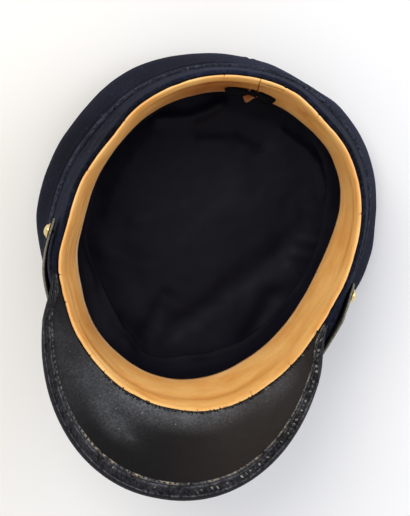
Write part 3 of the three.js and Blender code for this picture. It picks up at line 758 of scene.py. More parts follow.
# Sweatband: tan leather turned over the rim; its ends meet at the back
sweatband = {
    "columns": 900,
    "endGap": 0.09,  # half the gap between its ends
    "seamTurn": 88.8,  # where they meet
    "inside": [
        (39.0, -4.9, -5.0, 0.0, 0.108, 0.068),
        (33.0, -4.1, -4.2, 0.0, 0.101, 0.060),
        (27.0, -3.2, -3.3, 0.0, 0.095, 0.052),
        (21.0, -2.4, -2.5, 0.0, 0.089, 0.044),
        (15.0, -1.6, -1.7, 0.0, 0.083, 0.036),
        (9.0, -1.0, -1.0, 0.0, 0.077, 0.028),
        (5.5, -0.7, -0.7, 0.0, 0.073, 0.023),
        (2.4, 0.0, 0.0, 0.0, 0.070, 0.019),
        (0.6, 0.3, 0.3, 0.0, 0.067, 0.016),
        (-0.7, 0.75, 0.75, 0.0, 0.067, 0.016),
        (-1.4, 1.25, 1.25, 0.0, 0.067, 0.016),
        (-1.6, 1.75, 1.75, 0.0, 0.067, 0.016),
        (-1.25, 2.25, 2.25, 0.0, 0.067, 0.016),
        (-0.3, 2.5, 2.5, 0.0, 0.067, 0.016),
        (1.2, 2.45, 2.45, 0.0, 0.067, 0.016),
    ],
    "steps": 3,
    "skinRows": 12,  # how many of these rows are on the inner face
    "lipEdge": (-1.6, 2.5),  # depth of the lip's top, and how far out its edge is
    "outside": [
        (4.0, 1.3, 1.3, 0.0, 0.071, 0.021),
        (15.0, -0.2, -0.3, 0.0, 0.083, 0.036),
        (27.0, -1.8, -1.9, 0.0, 0.095, 0.052),
        (38.8, -3.5, -3.6, 0.0, 0.108, 0.068),
    ],
    # where its free edge sags: turn and reach in degrees, how far out in mm
    "sags": [
        (358, 26, -2.6), (27, 14, 0.6), (72, 38, -3.1), (110, 16, -0.8), (195, 16, 0.5), (250, 26, -0.8),
        (335, 16, -0.5),
    ],
    "sagDepths": (4, 39),
    "flatDepth": 20.0,  # waves are read at this depth, so they run straight down the leather
    # waves: height, size and seed
    "wave": (0.5, 42, 8),
    "skinWave": (0.2, 13, 9),
    "edgeWave": (0.5, 24, 10),
    "lipIn": 0.6,  # the lip's inner dents, and their waves
    "lipInWaves": [(1.0, 15, 28), (0.4, 5, 29)],
    "lipWaves": [(0.3, 17, 11), (0.15, 5, 12)],
    "tongue": (91.6, 3.4, 4.4, 5.0),  # corner turned in under the bow: turn, reach, how far down and in
    "crease": (12.5, 4.5, 1.1),  # line below the lip: depth, reach and how far it is pressed back
    "creaseWander": (3.5, 55, 23),
    "creaseBreaks": (0.4, 30, 25),
    "creaseLeast": 0.3,  # its strength at the right
    "creaseTurns": (20, 55, 90),  # the middle of the right, and degrees from it between which it strengthens
    # cracks across the lip: turn in degrees, length in mm from the outer edge
    "cracks": [
        (199, 5), (209, 4), (232, 7), (241, 4), (288, 5), (305, 8), (323, 6), (338, 4), (20, 4), (62, 4),
        (79, 5), (102, 4), (143, 4), (164, 4),
    ],
    "crackWidth": 0.36,  # degrees
    "crackFull": 0.4,  # share of its length before it fades
    "crackDeep": (0.5, 0.35),  # how far in and down
    # where heads have darkened it, and painted shade on the walls that face away from the light, most at the
    # back: turn, reach, how much
    "soilsAndShade": [(106, 46, 0.95), (66, 20, 0.05), (232, 32, 0.32), (185, 28, 0.1)],
    "rawTurn": (190, 75),  # where its cut edge is palest: turn and reach
    "linesTurn": (172, 80),  # where it has most fine lines
}
skinRows = list(reversed(sweatband["inside"][:sweatband["skinRows"]]))  # its inner face from the lip down


def crackShare(row, turn):  # 1 in the middle of a crack in the lip
    top, out = sweatband["lipEdge"]
    fromEdge = row[0] - top + out - row[1]
    return max(bump(turnAway(turn, at), sweatband["crackWidth"])
               * (1 - smoothStep(fromEdge, sweatband["crackFull"] * far, far))
               for at, far in sweatband["cracks"])


def creaseShare(depth, flat):  # 1 in the middle of the wandering crease below the lip
    at, reach, _ = sweatband["crease"]
    right, near, far = sweatband["creaseTurns"]
    away = abs(turnAway(math.atan2(flat.y, flat.x), right))
    share = between(sweatband["creaseLeast"], 1.0, smoothStep(away, near, far))
    broken = 0.6 + uneven(flat, sweatband["creaseBreaks"])
    return share * broken * bump(depth - at - uneven(flat, sweatband["creaseWander"]), reach)


def flatSpot(row, turn):
    return ovalPoint((sweatband["flatDepth"],) + row[1:], turn)


def sweatbandPoint(row, turn):
    depth = row[0]
    flat = flatSpot(row, turn)
    at, reach, down, inwards = sweatband["tongue"]
    tongue = bump(turnAway(turn, at), reach)
    crack = crackShare(row, turn)
    crackIn, crackDown = sweatband["crackDeep"]
    lipIn = max(0.0, uneven(flat, *sweatband["lipInWaves"])) * (1 - smoothStep(depth, 1, 5))
    out = uneven(flat, sweatband["wave"]) + hills(sweatband["sags"], turn)
    out *= smoothStep(depth, *sweatband["sagDepths"])
    out += uneven(flat, sweatband["skinWave"]) * smoothStep(depth, -2, 2)
    out += creaseShare(depth, flat) * sweatband["crease"][2]
    out -= crackIn * crack + sweatband["lipIn"] * lipIn + inwards * tongue * smoothStep(depth, 27, 39)
    edge = uneven(flat, sweatband["edgeWave"]) + down * tongue
    lip = uneven(flat, *sweatband["lipWaves"]) + crackDown * crack
    deeper = edge * smoothStep(depth, 20, 39) + lip * (1 - smoothStep(depth, 1, 4))
    return ovalPoint(pushedRow(row, out, deeper), turn)


def sweatbandSoilAndShade(row, turn, spot):
    depth = row[0]
    tongueTurn = sweatband["tongue"][0]
    spots = bump(turnAway(turn, 66), 9) * bump(depth - 17, 13) * max(0.0, 0.4 + 0.9 * ripple(spot, 4, 14))
    crease = creaseShare(depth, flatSpot(row, turn)) * (0.7 + 0.6 * ripple(spot, 12, 16))
    return clamped(sum((
        # head soil, and painted shade on the walls that face away from the light
        hills(sweatband["soilsAndShade"], turn) * smoothStep(depth, 2, 10) * (0.85 + 0.15 * ripple(spot, 11, 30)),
        0.25 * smoothStep(depth, 30, 39) * (0.5 + 0.5 * ripple(spot, 15, 13)),  # free edge
        0.55 * smoothStep(row[1], 2.3, 2.5) * (0.6 + 0.4 * ripple(spot, 5, 15)),  # outer edge of the lip: dark cut edge, and painted shade of the gap beside it
        0.4 * bump(turnAway(turn, sweatband["seamTurn"]), 0.5),  # seam
        0.9 * bump(turnAway(turn, tongueTurn), 5) * smoothStep(depth, 27, 34),  # turned corner, painted shade under the bow
        0.4 * spots,
        # painted shade in the crease below the lip
        0.3 * crease,
        0.55 * crackShare(row, turn),
    )))


def sweatbandRawAndHighlight(row, turn, spot):  # pale cut edge, barest at the left, and a painted highlight along the lip's crest
    at, reach = sweatband["rawTurn"]
    edge = (0.25 + 0.6 * bump(turnAway(turn, at), reach)) * smoothStep(row[0], 33.8, 36.4)
    # painted highlight along the lip's crest
    lip = 0.25 * bump(row[1] - 1.9, 0.7) * (1 - smoothStep(row[0], 0, 2))
    return (edge + lip) * (0.75 + 0.5 * ripple(spot, 9, 26))


def sweatbandLines(row, turn):  # fine creases along the leather, most at the left
    at, reach = sweatband["linesTurn"]
    return between(0.04, 1.0, bump(turnAway(turn, at), reach)) * smoothStep(row[0], 2, 6)


def makeSweatband():
    gap = sweatband["endGap"] / head["halfWidth"]
    first = math.radians(sweatband["seamTurn"]) + gap
    last = sweatband["columns"] - 1
    turns = [first + (2 * math.pi - 2 * gap) * i / last for i in range(last + 1)]
    grid = []
    marks = {"soilAndShade": [], "rawEdgeAndHighlight": [], "lines": []}
    for row in smoothRows(sweatband["inside"], sweatband["steps"]) + sweatband["outside"]:
        line = [sweatbandPoint(row, t) for t in turns]
        grid.append(line)
        marks["soilAndShade"] += [sweatbandSoilAndShade(row, t, p) for p, t in zip(line, turns)]
        marks["rawEdgeAndHighlight"] += [sweatbandRawAndHighlight(row, t, p) for p, t in zip(line, turns)]
        marks["lines"] += [sweatbandLines(row, t) for t in turns]
    piece = gridPiece("sweatband", grid, marks, ringRows=True, ringColumns=False)
    dress(piece, tanLeather, "sweatband_leather", "sweatband")


# Loose sewing thread that wanders over the lip from the back seam
looseThread = {
    "turns": (88.2, 79.0),  # from and to
    "depth": 0.6,
    "sway": 1.0,  # mm up and down
    "waves": 0.85,
    "off": 0.15,  # how far its middle is off the leather
    "radius": 0.14,
    "steps": 48,
}


def makeLooseThread():
    path = []
    for k in range(looseThread["steps"] + 1):
        share = k / looseThread["steps"]
        a = 2 * math.pi * looseThread["waves"] * share
        row = rowAt(skinRows, looseThread["depth"] + looseThread["sway"] * math.sin(a))
        turn = between(*looseThread["turns"], share)
        path.append(sweatbandPoint(pushedRow(row, -looseThread["off"]), math.radians(turn)))
    thread = threadTube(path, looseThread["radius"], [1] * len(path), 5)
    dressThreads("looseThread", [thread], brownThread, "sweatband_leather")


makeSweatband()
makeLooseThread()
print("sweatband made")

# Peak: leather sheet from the seam at the rim to its drooping edge
peak = {
    "halfAngle": 72.0,
    "halfWidth": 85.7,
    "centreX": -3.7,
    "widestY": -45.0,
    "frontY": -146.0,
    "blunt": (2.07, 2.17),  # outline of the left half, and of the right
    "tipWidth": 3.2,
    "taper": 0.88,
    "tipThin": (0.4, 0.1),  # share of the leather that is left at the tips, and how far the paring runs
    "droop": 35.0,
    "droopCurve": 1.1,
    "bow": 0.3,
    "leather": 2.2,
    "sewnEdge": 1.5,
    "fullBy": 0.25,  # share of the way out where the leather is at its full thickness
    "edgeIn": 1.5,  # how far its edge stops inside the binding
    "seamOut": 2.9,
    "lift": -0.25,
    "uneven": [(0.3, 22, 15), (0.12, 6, 16)],  # height, size and seed
    "stations": 240,
    "steps": 46,
    # rubbed places, worn and near the seam also painted sheen: along from left tip -1 to right tip 1, across
    # from seam 0 to edge 1, reaches, strength
    "rubsAndSheen": [
        (0.02, 0.0, 0.46, 0.36, 0.64),
        (-0.34, 0.08, 0.42, 0.62, 0.3),
        (0.38, 0.0, 0.36, 0.34, 0.3),
        (-0.15, 0.49, 0.05, 0.05, 0.16),
        (-0.27, 0.44, 0.2, 0.24, 0.26),
        (-0.66, 0.5, 0.36, 0.75, 0.15),
        (0.66, 0.1, 0.2, 0.4, 0.24),
    ],
    "leastRub": 0.01,
    "outerRub": 0.05,  # of its outer face
    "warm": (-0.1, 0.4),  # it grows browner to the right between these places along it
}


def peakPoint(along, across):
    out = peak["seamOut"]
    inner = ovalPoint((0.0, out, out) + head["rimShape"], math.radians(270 + along * peak["halfAngle"]))
    swing = math.pi / 2 * along
    bluntness = peak["blunt"][0 if along < 0 else 1]
    run = bluntShare(max(0.0, math.cos(swing)), bluntness)
    wide = peak["centreX"] + peak["halfWidth"] * bluntShare(math.sin(swing), bluntness)
    close = smoothStep(abs(along), peak["taper"], 1)
    x = between(wide, inner.x + math.copysign(peak["tipWidth"], along), close)
    y = between(between(peak["widestY"], peak["frontY"], run), inner.y, close)
    fall = peak["droop"] * run ** peak["droopCurve"]
    curve = across * (1 - peak["bow"]) + across * across * peak["bow"]
    flat = inner.lerp(Vector((x, y, inner.z)), across)
    return flat + Vector((0, 0, peak["lift"] + fall * curve))


def peakFrame(along, across):  # a point of the leather, and the way up off its underside
    step = 1e-3
    point = peakPoint(along, across)
    around = peakPoint(min(1, along + step), across) - peakPoint(max(-1, along - step), across)
    inwards = (peakPoint(along, across - step) - point).normalized()
    up = inwards.cross(around).normalized()
    return point, up if up.z > 0 else -up


def tipThin(along):  # the leather is pared towards the tips
    least, run = peak["tipThin"]
    return between(least, 1.0, smoothStep(1 - abs(along), 0, run))


def peakWidth(along):
    return (peakPoint(along, 0) - peakPoint(along, 1)).length


def peakRubAndSheen(along, across):
    total = peak["leastRub"]
    for atAlong, atAcross, reachAlong, reachAcross, strength in peak["rubsAndSheen"]:
        total += strength * bump(along - atAlong, reachAlong) * bump(across - atAcross, reachAcross)
    return min(1.0, total)


def makePeak():
    grid, rubAndSheen, warm = [], [], []
    for i in range(peak["stations"] + 1):
        along = -1 + 2 * i / peak["stations"]
        reach = 1 - peak["edgeIn"] / peakWidth(along)
        upper, lower, marks = [], [], []
        for k in range(peak["steps"] + 1):
            share = k / peak["steps"]
            across = reach * share
            point, up = peakFrame(along, across)
            if k == 0:
                up = Vector((0, 0, 1))
            full = min(1.0, share / peak["fullBy"])
            thick = between(peak["sewnEdge"], peak["leather"], full) + uneven(point, *peak["uneven"]) * full
            lower.append(point)
            upper.append(point + up * thick * tipThin(along))
            marks.append(peakRubAndSheen(along, across))
        grid.append(lower + list(reversed(upper)))
        rubAndSheen += [peak["outerRub"]] * len(lower) + list(reversed(marks))
        warm += [smoothStep(along, *peak["warm"])] * (len(lower) + len(upper))
    dress(gridPiece("peak", grid, {"rubAndSheen": rubAndSheen, "warm": warm}), peakLeather, "peak_leather", "peak")


makePeak()
print("peak made")

# Binding: leather strip folded over the peak's edge
binding = {
    "clear": 0.5,
    "width": 10.4,
    "mostShare": 0.8,  # of the peak's width, at its narrow tips
    "stations": 720,
    "end": 0.99,
    # underside: inset from the edge in mm, height off the peak's leather in mm, rubbed grey, worn bare
    "section": [
        (10.4, 0.1, 0.25, 0.2), (10.0, 0.5, 0.4, 0.6), (9.4, 0.8, 0.5, 0.8), (8.7, 0.75, 0.35, 0.5),
        (8.0, 0.5, 0.15, 0.05), (7.6, 0.6, 0.1, 0.0), (7.1, 0.85, 0.35, 0.0), (6.6, 0.95, 0.45, 0.03),
        (6.0, 0.8, 0.25, 0.0), (5.4, 0.45, 0.12, 0.0), (4.8, 0.25, 0.14, 0.0), (3.4, 0.2, 0.16, 0.0),
        (1.9, 0.25, 0.14, 0.0), (1.4, 0.5, 0.12, 0.0), (1.1, 0.85, 0.3, 0.0), (0.75, 1.0, 0.5, 0.05),
        (0.4, 0.9, 0.25, 0.0), (0.12, 0.55, 0.1, 0.0), (0.0, 0.0, 0.0, 0.0),
    ],
    "outerFrom": 9,  # the outer face repeats the section from this row out, spread wider and no taller than
    "outerSpread": 1.4,
    "outerTall": 0.9,
    "outerEnd": 7.2,  # inset where the outer face ends
    "grip": 1.1,  # inset of the strip's inside, that grips the peak's edge
    "uneven": [(0.16, 4, 17), (0.14, 1.8, 31)],  # height, size and seed
    "mottle": [(1.0, 9, 18), (1.5, 1.7, 32)],  # of the rubbed grey
    "flakes": [(1.3, 6, 19), (1.2, 1.7, 27)],  # of the worn bare places
    "wornAt": (-0.12, 0.42),  # where along the edge the inner line is worn most, and its reach
    # how far its rolled edge stands out: place along the edge, and mm
    "swells": [
        (-1.1, 0.0), (-0.25, 0.25), (0.0, 0.6), (0.3, 1.4), (0.6, 1.85), (0.7, 1.75), (0.85, 1.4),
        (1.1, 0.2),
    ],
    "swellInset": 2.2,  # the swell fades out by this inset
    # how wide it is: place along the edge, and share of its full width
    "widths": [
        (-1.1, 1.0), (-0.5, 0.95), (-0.1, 0.85), (0.15, 0.8), (0.35, 0.73), (0.55, 0.78), (0.7, 0.85),
        (0.82, 1.05), (0.92, 1.3), (1.1, 1.3),
    ],
    "stitchSpacing": 3.1,  # of its beads and small stitches
    "beadInset": 3.5,
    "smallInset": 9.1,
    # how thick its beads are: place along the edge, and mm
    "beads": [(-1.1, 0.45), (-0.3, 0.5), (0.0, 0.75), (0.3, 1.05), (1.1, 1.05)],
    "cleanShare": 0.4,  # share of the beads that stay black where the others are dusty
    "dustyFrom": 0.16,  # place along the edge past which the stitches are dusty
}


def tipShare(along):  # narrows the binding towards the peak's tips
    most = binding["mostShare"] * peakWidth(along) / binding["width"]
    return min(rowAt(binding["widths"], along)[1], most)


def bindingPoint(along, inset, height):  # height is off the peak's underside where positive
    inset -= rowAt(binding["swells"], along)[1] * (1 - smoothStep(inset, 0, binding["swellInset"]))
    point, up = peakFrame(along, 1 - inset * tipShare(along) / peakWidth(along))
    return point + up * ((peak["leather"] + binding["clear"]) * tipThin(along) + height)


def makeBinding():
    grid, rubAndSheen, bare = [], [], []
    section = binding["section"]
    wornPlace, wornReach = binding["wornAt"]
    for i in range(binding["stations"] + 1):
        along = binding["end"] * (-1 + 2 * i / binding["stations"])
        narrow = tipShare(along)
        thickness = (peak["leather"] + 2 * binding["clear"] * narrow) * tipThin(along)
        up = peakFrame(along, 1)[1]
        worn = 0.2 + 0.3 * smoothStep(along, 0, 0.4) + 0.9 * bump(along - wornPlace, wornReach)
        line = []
        for inset, height, grey, bald in section:
            spot = bindingPoint(along, inset, height * between(0.4, 1.0, narrow))
            line.append(spot + up * uneven(spot, *binding["uneven"]) * narrow)
            rubAndSheen.append(clamped(grey * (0.9 + uneven(spot, *binding["mottle"]))))
            bare.append(clamped(bald * worn * (0.5 + uneven(spot, *binding["flakes"]))))
        for inset, height in reversed([row[:2] for row in section[binding["outerFrom"]:]]):
            tall = min(binding["outerTall"], height) * narrow
            line.append(bindingPoint(along, inset * binding["outerSpread"], -thickness - tall))
        line.append(bindingPoint(along, binding["outerEnd"], -thickness))
        line.append(bindingPoint(along, binding["grip"], -thickness))
        line.append(bindingPoint(along, binding["grip"], -0.1))
        plain = len(line) - len(section)
        rubAndSheen += [0.1] * plain
        bare += [0.0] * plain
        grid.append(line)
    piece = gridPiece("peakBinding", grid, {"rubAndSheen": rubAndSheen, "bare": bare})
    dress(piece, bindingLeather, "peak_leather", "peak_binding")


def edgeStations(inset):  # places along the binding that are a stitch apart
    fine = 3000
    places, travelled = [], 0.0
    last = None
    for i in range(fine + 1):
        along = binding["end"] * (-1 + 2 * i / fine)
        spot = bindingPoint(along, inset, 0.0)
        if last is not None:
            travelled += (spot - last).length
        if last is None or travelled >= binding["stitchSpacing"]:
            places.append(along)
            travelled = 0.0
        last = spot
    return places


def dressStitches(name, dustyName, clean, dusty):
    dressThreads(name, clean, blackThread, "peak_leather")
    dressThreads(dustyName, dusty, dustyThread, "peak_leather")


def makeBindingBeads():  # thick slanting stitches that show as a row of beads
    clean, dusty = [], []
    inset = binding["beadInset"]
    for along in edgeStations(inset):
        slant = 0.005 + 0.004 * random.random()
        half = 0.9 + 0.8 * random.random()
        low = 0.1 + 0.25 * random.random()
        a = bindingPoint(along - slant, inset + half, low)
        b = bindingPoint(along + slant, inset - half, low)
        middle = bindingPoint(along, inset, low + 0.3)
        path = [a, a.lerp(middle, 0.5), middle, middle.lerp(b, 0.5), b]
        thick = rowAt(binding["beads"], along)[1] * tipShare(along) * (0.6 + 0.5 * random.random())
        bead = threadTube(path, thick, (0.4, 0.85, 1.0, 0.85, 0.4), 8)
        isDusty = along > binding["dustyFrom"] and random.random() > binding["cleanShare"]
        (dusty if isDusty else clean).append(bead)
    dressStitches("bindingBeads", "dustyBeads", clean, dusty)


def makeBindingStitches():  # small ones along its inner edge
    clean, dusty = [], []
    slant, half, rise = 0.005, 0.25, 0.7
    for along in edgeStations(binding["smallInset"]):
        inset = binding["smallInset"] + 0.5 * (random.random() - 0.5)
        a = bindingPoint(along - slant, inset + half, rise)
        b = bindingPoint(along + slant, inset - half, rise)
        path = [a, a.lerp(b, 0.3), a.lerp(b, 0.7), b]
        thick = (0.35 + 0.25 * random.random()) * tipShare(along)
        stitch = threadTube(path, thick, (0.35, 1, 1, 0.35), 6)
        (dusty if along > binding["dustyFrom"] else clean).append(stitch)
    dressStitches("bindingStitches", "dustyStitches", clean, dusty)


makeBinding()
makeBindingBeads()
makeBindingStitches()
print("binding made")

# Seam stitches: black thread that crosses from the sweatband's lip to the peak
seam = {
    "spacing": 2.3,
    "rimRadius": 94.0,  # makes angles of the spacing
    "radius": 0.44,
    "turns": (243.0, 341.0),  # that the stitches show between
    # out and above the rim in mm, and share of the thread's thickness
    "path": [
        (1.9, 1.8, 0.5), (2.3, 2.1, 0.9), (2.9, 2.0, 1.0), (3.5, 1.75, 1.0), (4.1, 1.5, 0.9),
        (4.7, 1.1, 0.5),
    ],
    "slant": 0.9,
    "longShare": 0.16,  # share of them that reach on to the lip, and how far
    "longBy": 0.8,
    "dustyShare": 0.2,
    "looseEnds": 13,
    "looseStart": (2.6, 2.0),  # out and above the rim
    "looseLength": 4.2,
    "looseRadius": 0.13,
    "looseSteps": 6,
    "looseInwards": 0.6,  # share of the loose ends that point in over the lip
}


def rimSpot(out, rise, turnDegrees):
    return ovalPoint((-rise, out, out) + head["rimShape"], math.radians(turnDegrees))


def makeSeamStitches():
    clean, dusty = [], []
    start, end = seam["turns"]
    step = math.degrees(seam["spacing"] / seam["rimRadius"])
    shares = [row[2] for row in seam["path"]]
    for i in range(int((end - start) / step)):
        turn = start + (i + 0.5 * random.random()) * step
        shift = 0.35 * random.random() - (seam["longBy"] if random.random() < seam["longShare"] else 0.0)
        path = []
        for k, (out, rise, _) in enumerate(seam["path"]):
            inner = 1 - k / (len(shares) - 1)
            path.append(rimSpot(out + shift * inner, rise, turn + seam["slant"] * (0.5 - inner)))
        thick = seam["radius"] * (0.8 + 0.5 * random.random())
        stitch = threadTube(path, thick, shares, 6)
        (dusty if random.random() < seam["dustyShare"] else clean).append(stitch)
    dressStitches("seamStitches", "dustySeamStitches", clean, dusty)


def makeLooseEnds():  # short ends of thread that stick out of the seam
    tubes = []
    startOut, startRise = seam["looseStart"]
    steps = seam["looseSteps"]
    for _ in range(seam["looseEnds"]):
        turn = between(*seam["turns"], random.random())
        lean = 2.4 * (random.random() - 0.5)
        way = -1 if random.random() < seam["looseInwards"] else 1
        length = seam["looseLength"] * (0.4 + 0.6 * random.random())
        path = []
        for share in (k / steps for k in range(steps + 1)):
            out = startOut + way * length * 0.5 * share
            rise = startRise + 0.5 * math.sin(math.pi * share) - 0.25 * share
            path.append(rimSpot(out, rise, turn + lean * share + 0.7 * lean * share * share))
        tubes.append(threadTube(path, seam["looseRadius"], [1] * len(path), 5))
    dressThreads("looseEnds", tubes, blackThread, "peak_leather")


makeSeamStitches()
makeLooseEnds()
print("seam stitches made")

# Chin strap: button to button across the front of the band
strap = {
    "width": 12.0,
    "leather": 2.0,
    "depth": 9.5,
    "clear": 0.6,
    # how far its rim edge stands off the band: degrees from the front, left being negative, and mm
    "stands": [
        (-92, 2.6), (-72, 3.4), (-60, 3.8), (-35, 0.0), (35, 0.0), (60, 7.0), (75, 5.6), (84, 1.8),
        (92, 0.5),
    ],
    "buttonLeft": -84.4,
    "buttonRight": 83.0,
    "endRun": 3.8,  # degrees past the buttons, where it rounds off
    "endWidth": 0.12,  # square of the share of its width that is left at the ends
    "stations": 300,
    # section: share across the width, share through the leather, how bare the hide is
    "section": [
        (-0.48, 0.25, 0.15), (-0.3, 0.25, 0.0), (0.0, 0.25, 0.0), (0.3, 0.25, 0.0), (0.48, 0.25, 0.2),
        (0.5, 0.4, 0.7), (0.5, 0.62, 0.9), (0.5, 0.85, 0.8),
        (0.48, 1.0, 0.35), (0.3, 1.0, 0.05), (0.0, 1.0, 0.05), (-0.3, 1.0, 0.05), (-0.48, 1.0, 0.4),
        (-0.5, 0.85, 0.9), (-0.5, 0.62, 0.9), (-0.5, 0.4, 0.4),
    ],
}


def strapPoint(away, acrossShare, out):
    row = rowAt(band["outside"], strap["depth"] + acrossShare * strap["width"])
    stand = strap["clear"] + rowAt(strap["stands"], away)[1] * (0.5 - acrossShare) + out
    return ovalPoint(pushedRow(row, stand), math.radians(270 + away))


def makeStrap():
    run = strap["endRun"]
    start, end = strap["buttonLeft"] - run, strap["buttonRight"] + run
    grid, rubAndSheen = [], []
    for i in range(strap["stations"] + 1):
        away = between(start, end, i / strap["stations"])
        fromEnd = min(1.0, (away - start) / run, (end - away) / run)
        narrow = math.sqrt(between(strap["endWidth"], 1.0, 1 - (1 - fromEnd) ** 2))
        grid.append([strapPoint(away, across * narrow, through * strap["leather"])
                     for across, through, _ in strap["section"]])
        rubAndSheen += [bare for _, _, bare in strap["section"]]
    dress(gridPiece("chinStrap", grid, {"rubAndSheen": rubAndSheen}), strapLeather, "strap_leather", "chin_strap")


makeStrap()
print("strap made")

# Side buttons: plain gilt domes with a rolled rim, on a shank through the strap
button = {
    "radius": 4.8,
    "dome": 3.2,
    "domeIn": 0.95,  # how far inside the radius the dome starts, and how far below the rim's top
    "domeSunk": 0.2,
    "domeSteps": 14,
    "rim": 0.9,
    "rimOut": 0.5,  # half width of the rim's roll
    "rimSteps": 8,
    "backIn": 0.7,
    "sides": 64,
    "shank": 1.3,
    "gap": 0.35,
    "tip": 0.01,  # radius that stands for a point
}


def buttonProfile():
    radius, rim, gap = button["radius"], button["rim"], button["gap"]
    foot = -strap["leather"] - gap
    profile = [(button["tip"], foot), (button["shank"], foot), (button["shank"], gap)]
    profile.append((radius - button["backIn"], gap))
    roll = button["rimOut"]
    for k in range(button["rimSteps"] + 1):
        a = -math.pi / 2 + math.pi * k / button["rimSteps"]
        profile.append((radius - roll + roll * math.cos(a), gap + rim / 2 + rim / 2 * math.sin(a)))
    domeRadius = radius - button["domeIn"]
    domeFoot = gap + rim - button["domeSunk"]
    domeTall = gap + button["dome"] - domeFoot
    for k in range(button["domeSteps"]):
        a = math.pi / 2 * k / button["domeSteps"]
        profile.append((domeRadius * math.cos(a), domeFoot + domeTall * math.sin(a)))
    return profile + [(button["tip"], gap + button["dome"])]


def makeButton(name, node, away):
    top = strap["leather"]
    seat = strapPoint(away, 0, top)
    along = strapPoint(away + 1, 0, top) - strapPoint(away - 1, 0, top)
    across = strapPoint(away, 0.5, top) - strapPoint(away, -0.5, top)
    normal = across.cross(along).normalized()
    sideways = along.normalized()
    rise = normal.cross(sideways)
    grid = []
    for radius, height in buttonProfile():
        grid.append([seat + normal * height + (sideways * math.cos(a) + rise * math.sin(a)) * radius
                     for a in evenTurns(button["sides"])])
    dress(gridPiece(name, grid), giltBrass, "gilt_brass", node)


makeButton("buttonLeft", "button_left", strap["buttonLeft"])
makeButton("buttonRight", "button_right", strap["buttonRight"])
print("buttons made")

# Ribbon bow: two flat loops and a small knot, tied through the sweatband's ends above its turned corner
bow = {
    "thick": 0.5,
    "knotDepth": 23.5,
    "lowDepth": 38.0,  # the band's slope is taken from the knot down to here
    "knotTurn": 90.2,
    "knotSize": (3.0, 2.0, 2.2),  # half sizes along the band, off it and down it
    "knotOff": 2.1,  # how far its middle is off the leather
    "knotLobes": (0.14, 3, 2),  # how far its folds bulge, how many and their twist
    "knotGrid": (16, 28),
    "across": 8,
    "stations": 36,
    # each loop: rows of mm along the band from the knot, off the leather and down it, and half width off it
    "loops": {
        "Left": [(2.6, 2.0, 0.0, 1.0), (4.6, 2.4, 0.2, 1.9), (8.0, 2.6, 0.8, 2.4), (11.6, 2.8, 1.4, 2.5),
                 (15.0, 2.7, 1.8, 1.6), (17.4, 2.4, 2.1, 0.3)],
        "Right": [(-2.8, 2.0, 0.0, 1.0), (-4.6, 2.6, 0.4, 2.0), (-7.4, 3.0, 1.2, 2.6),
                  (-10.4, 3.0, 2.0, 2.8), (-13.0, 2.6, 2.6, 1.9), (-14.6, 2.2, 3.0, 0.4)],
    },
    "fold": 1.5,  # how far a loop's two faces stand apart at their fullest
    "tilt": 0.5,  # how far a ribbon's width hangs down for each mm that it stands in
    "rumple": (0.5, 3.5, 21),  # height, size and seed
}


def bowFrame():
    turn = math.radians(bow["knotTurn"])
    spot = sweatbandPoint(rowAt(skinRows, bow["knotDepth"]), turn)
    below = sweatbandPoint(rowAt(skinRows, bow["lowDepth"]), turn)
    down = (below - spot).normalized()
    left = Vector((-1, 0, 0))
    off = left.cross(down).normalized()
    return spot, left, down, off if off.y < 0 else -off


def makeBowLoop(name, rows):
    spot, left, down, off = bowFrame()
    wide = (off + down * bow["tilt"]).normalized()
    rows = smoothRows(rows, bow["stations"] // (len(rows) - 1))
    grid = []
    for i, (along, away, fall, half) in enumerate(rows):
        share = i / (len(rows) - 1)
        middle = spot + left * along + off * away + down * fall
        puff = bow["fold"] * math.sin(math.pi * share ** 0.8)
        top, bottom = [], []
        for k in range(bow["across"] + 1):
            across = 2 * k / bow["across"] - 1
            place = middle + wide * half * across
            crease = uneven(place, bow["rumple"]) + 0.25 * math.sin(5 * across + 6 * share)
            rise = -down * (puff * 0.5 * (1 - 0.5 * across * across) + crease * min(1.0, 4 * share))
            top.append(place + rise - down * bow["thick"])
            bottom.append(place - rise * 0.6 + down * bow["thick"])
        grid.append(top + list(reversed(bottom)))
    dress(gridPiece(name, grid), blackRibbon, "ribbon")


def makeBowKnot():
    spot, left, down, off = bowFrame()
    long, deep, tall = bow["knotSize"]
    bulge, lobes, twist = bow["knotLobes"]
    rings, sides = bow["knotGrid"]
    grid = []
    for a in (math.pi * i / rings for i in range(rings + 1)):
        line = []
        for b in evenTurns(sides):
            ring = math.sin(a) * (1 + bulge * math.cos(lobes * b + twist * a)) + 0.002
            sideways = left * long * ring * math.sin(b) + off * (bow["knotOff"] + deep * ring * math.cos(b))
            line.append(spot + sideways + down * tall * math.cos(a))
        grid.append(line)
    dress(gridPiece("bowKnot", grid), blackRibbon, "ribbon", "sweatband_bow")


for sideName, loopRows in bow["loops"].items():
    makeBowLoop("bowLoop" + sideName, loopRows)
makeBowKnot()
print("bow made")

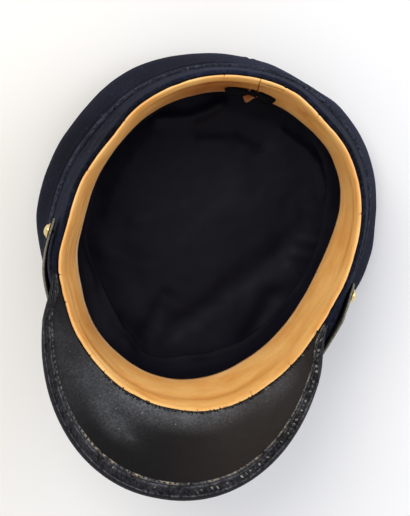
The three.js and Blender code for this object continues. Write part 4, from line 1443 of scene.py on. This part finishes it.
# Floor and light: a room that is bright round its sides and dim overhead, a soft key from behind left
# and a cool fill from the right
studio = {
    "floorSize": 4.0,
    "horizon": "#F2F2F2",
    "zenith": "#C6C6CA",
    "skyHeights": (0.2, 0.95),  # heights of the sky, as sines, between which it dims
    "skyStrength": 1.13,
    # place, size, power and colour of each lamp
    "lamps": {
        "keyLight": ((-0.5, 0.56, 1.12), 0.75, 7.6, "#FFFBF5"),
        "sideFill": ((1.0, 0.55, 0.66), 0.9, 4.8, "#EAEFFF"),
    },
    "lampAim": (0, 0, 0.08),
}


def makeFloor():
    half = studio["floorSize"] / 2
    corners = [(-half, -half, 0), (half, -half, 0), (half, half, 0), (-half, half, 0)]
    mesh = bpy.data.meshes.new("floor")
    mesh.from_pydata(corners, [], [(0, 1, 2, 3)])
    floor = bpy.data.objects.new("floor", mesh)
    bpy.context.collection.objects.link(floor)
    mesh.materials.append(makeMaterial("whitePaper", paperSheet))


def makeSky():
    world = bpy.data.worlds.new("studio")
    world.use_nodes = True
    tree = world.node_tree
    direction = addNode(tree, "TexCoord", {}, "Generated")
    height = addNode(tree, "SeparateXYZ", {0: direction}, "Z")
    low, high = studio["skyHeights"]
    dim = addNode(tree, "MapRange", {"Value": height, "From Min": low, "From Max": high})
    colour = addNode(tree, "Mix", {0: dim, 6: studio["horizon"], 7: studio["zenith"]}, **colourMix)
    setSockets(tree, tree.nodes["Background"], {"Color": colour, "Strength": studio["skyStrength"]})
    bpy.context.scene.world = world


def makeLamps():
    for name, (place, size, power, tint) in studio["lamps"].items():
        lamp = bpy.data.lights.new(name, "AREA")
        lamp.shape = "DISK"
        lamp.size = size
        lamp.energy = power
        lamp.color = linear(tint)[:3]
        holder = bpy.data.objects.new(name, lamp)
        bpy.context.collection.objects.link(holder)
        holder.location = place
        aim = Vector(studio["lampAim"]) - holder.location
        holder.rotation_euler = aim.to_track_quat("-Z", "Y").to_euler()


makeFloor()
makeSky()
makeLamps()
bpy.context.scene.view_settings.view_transform = "Standard"
print("studio made")
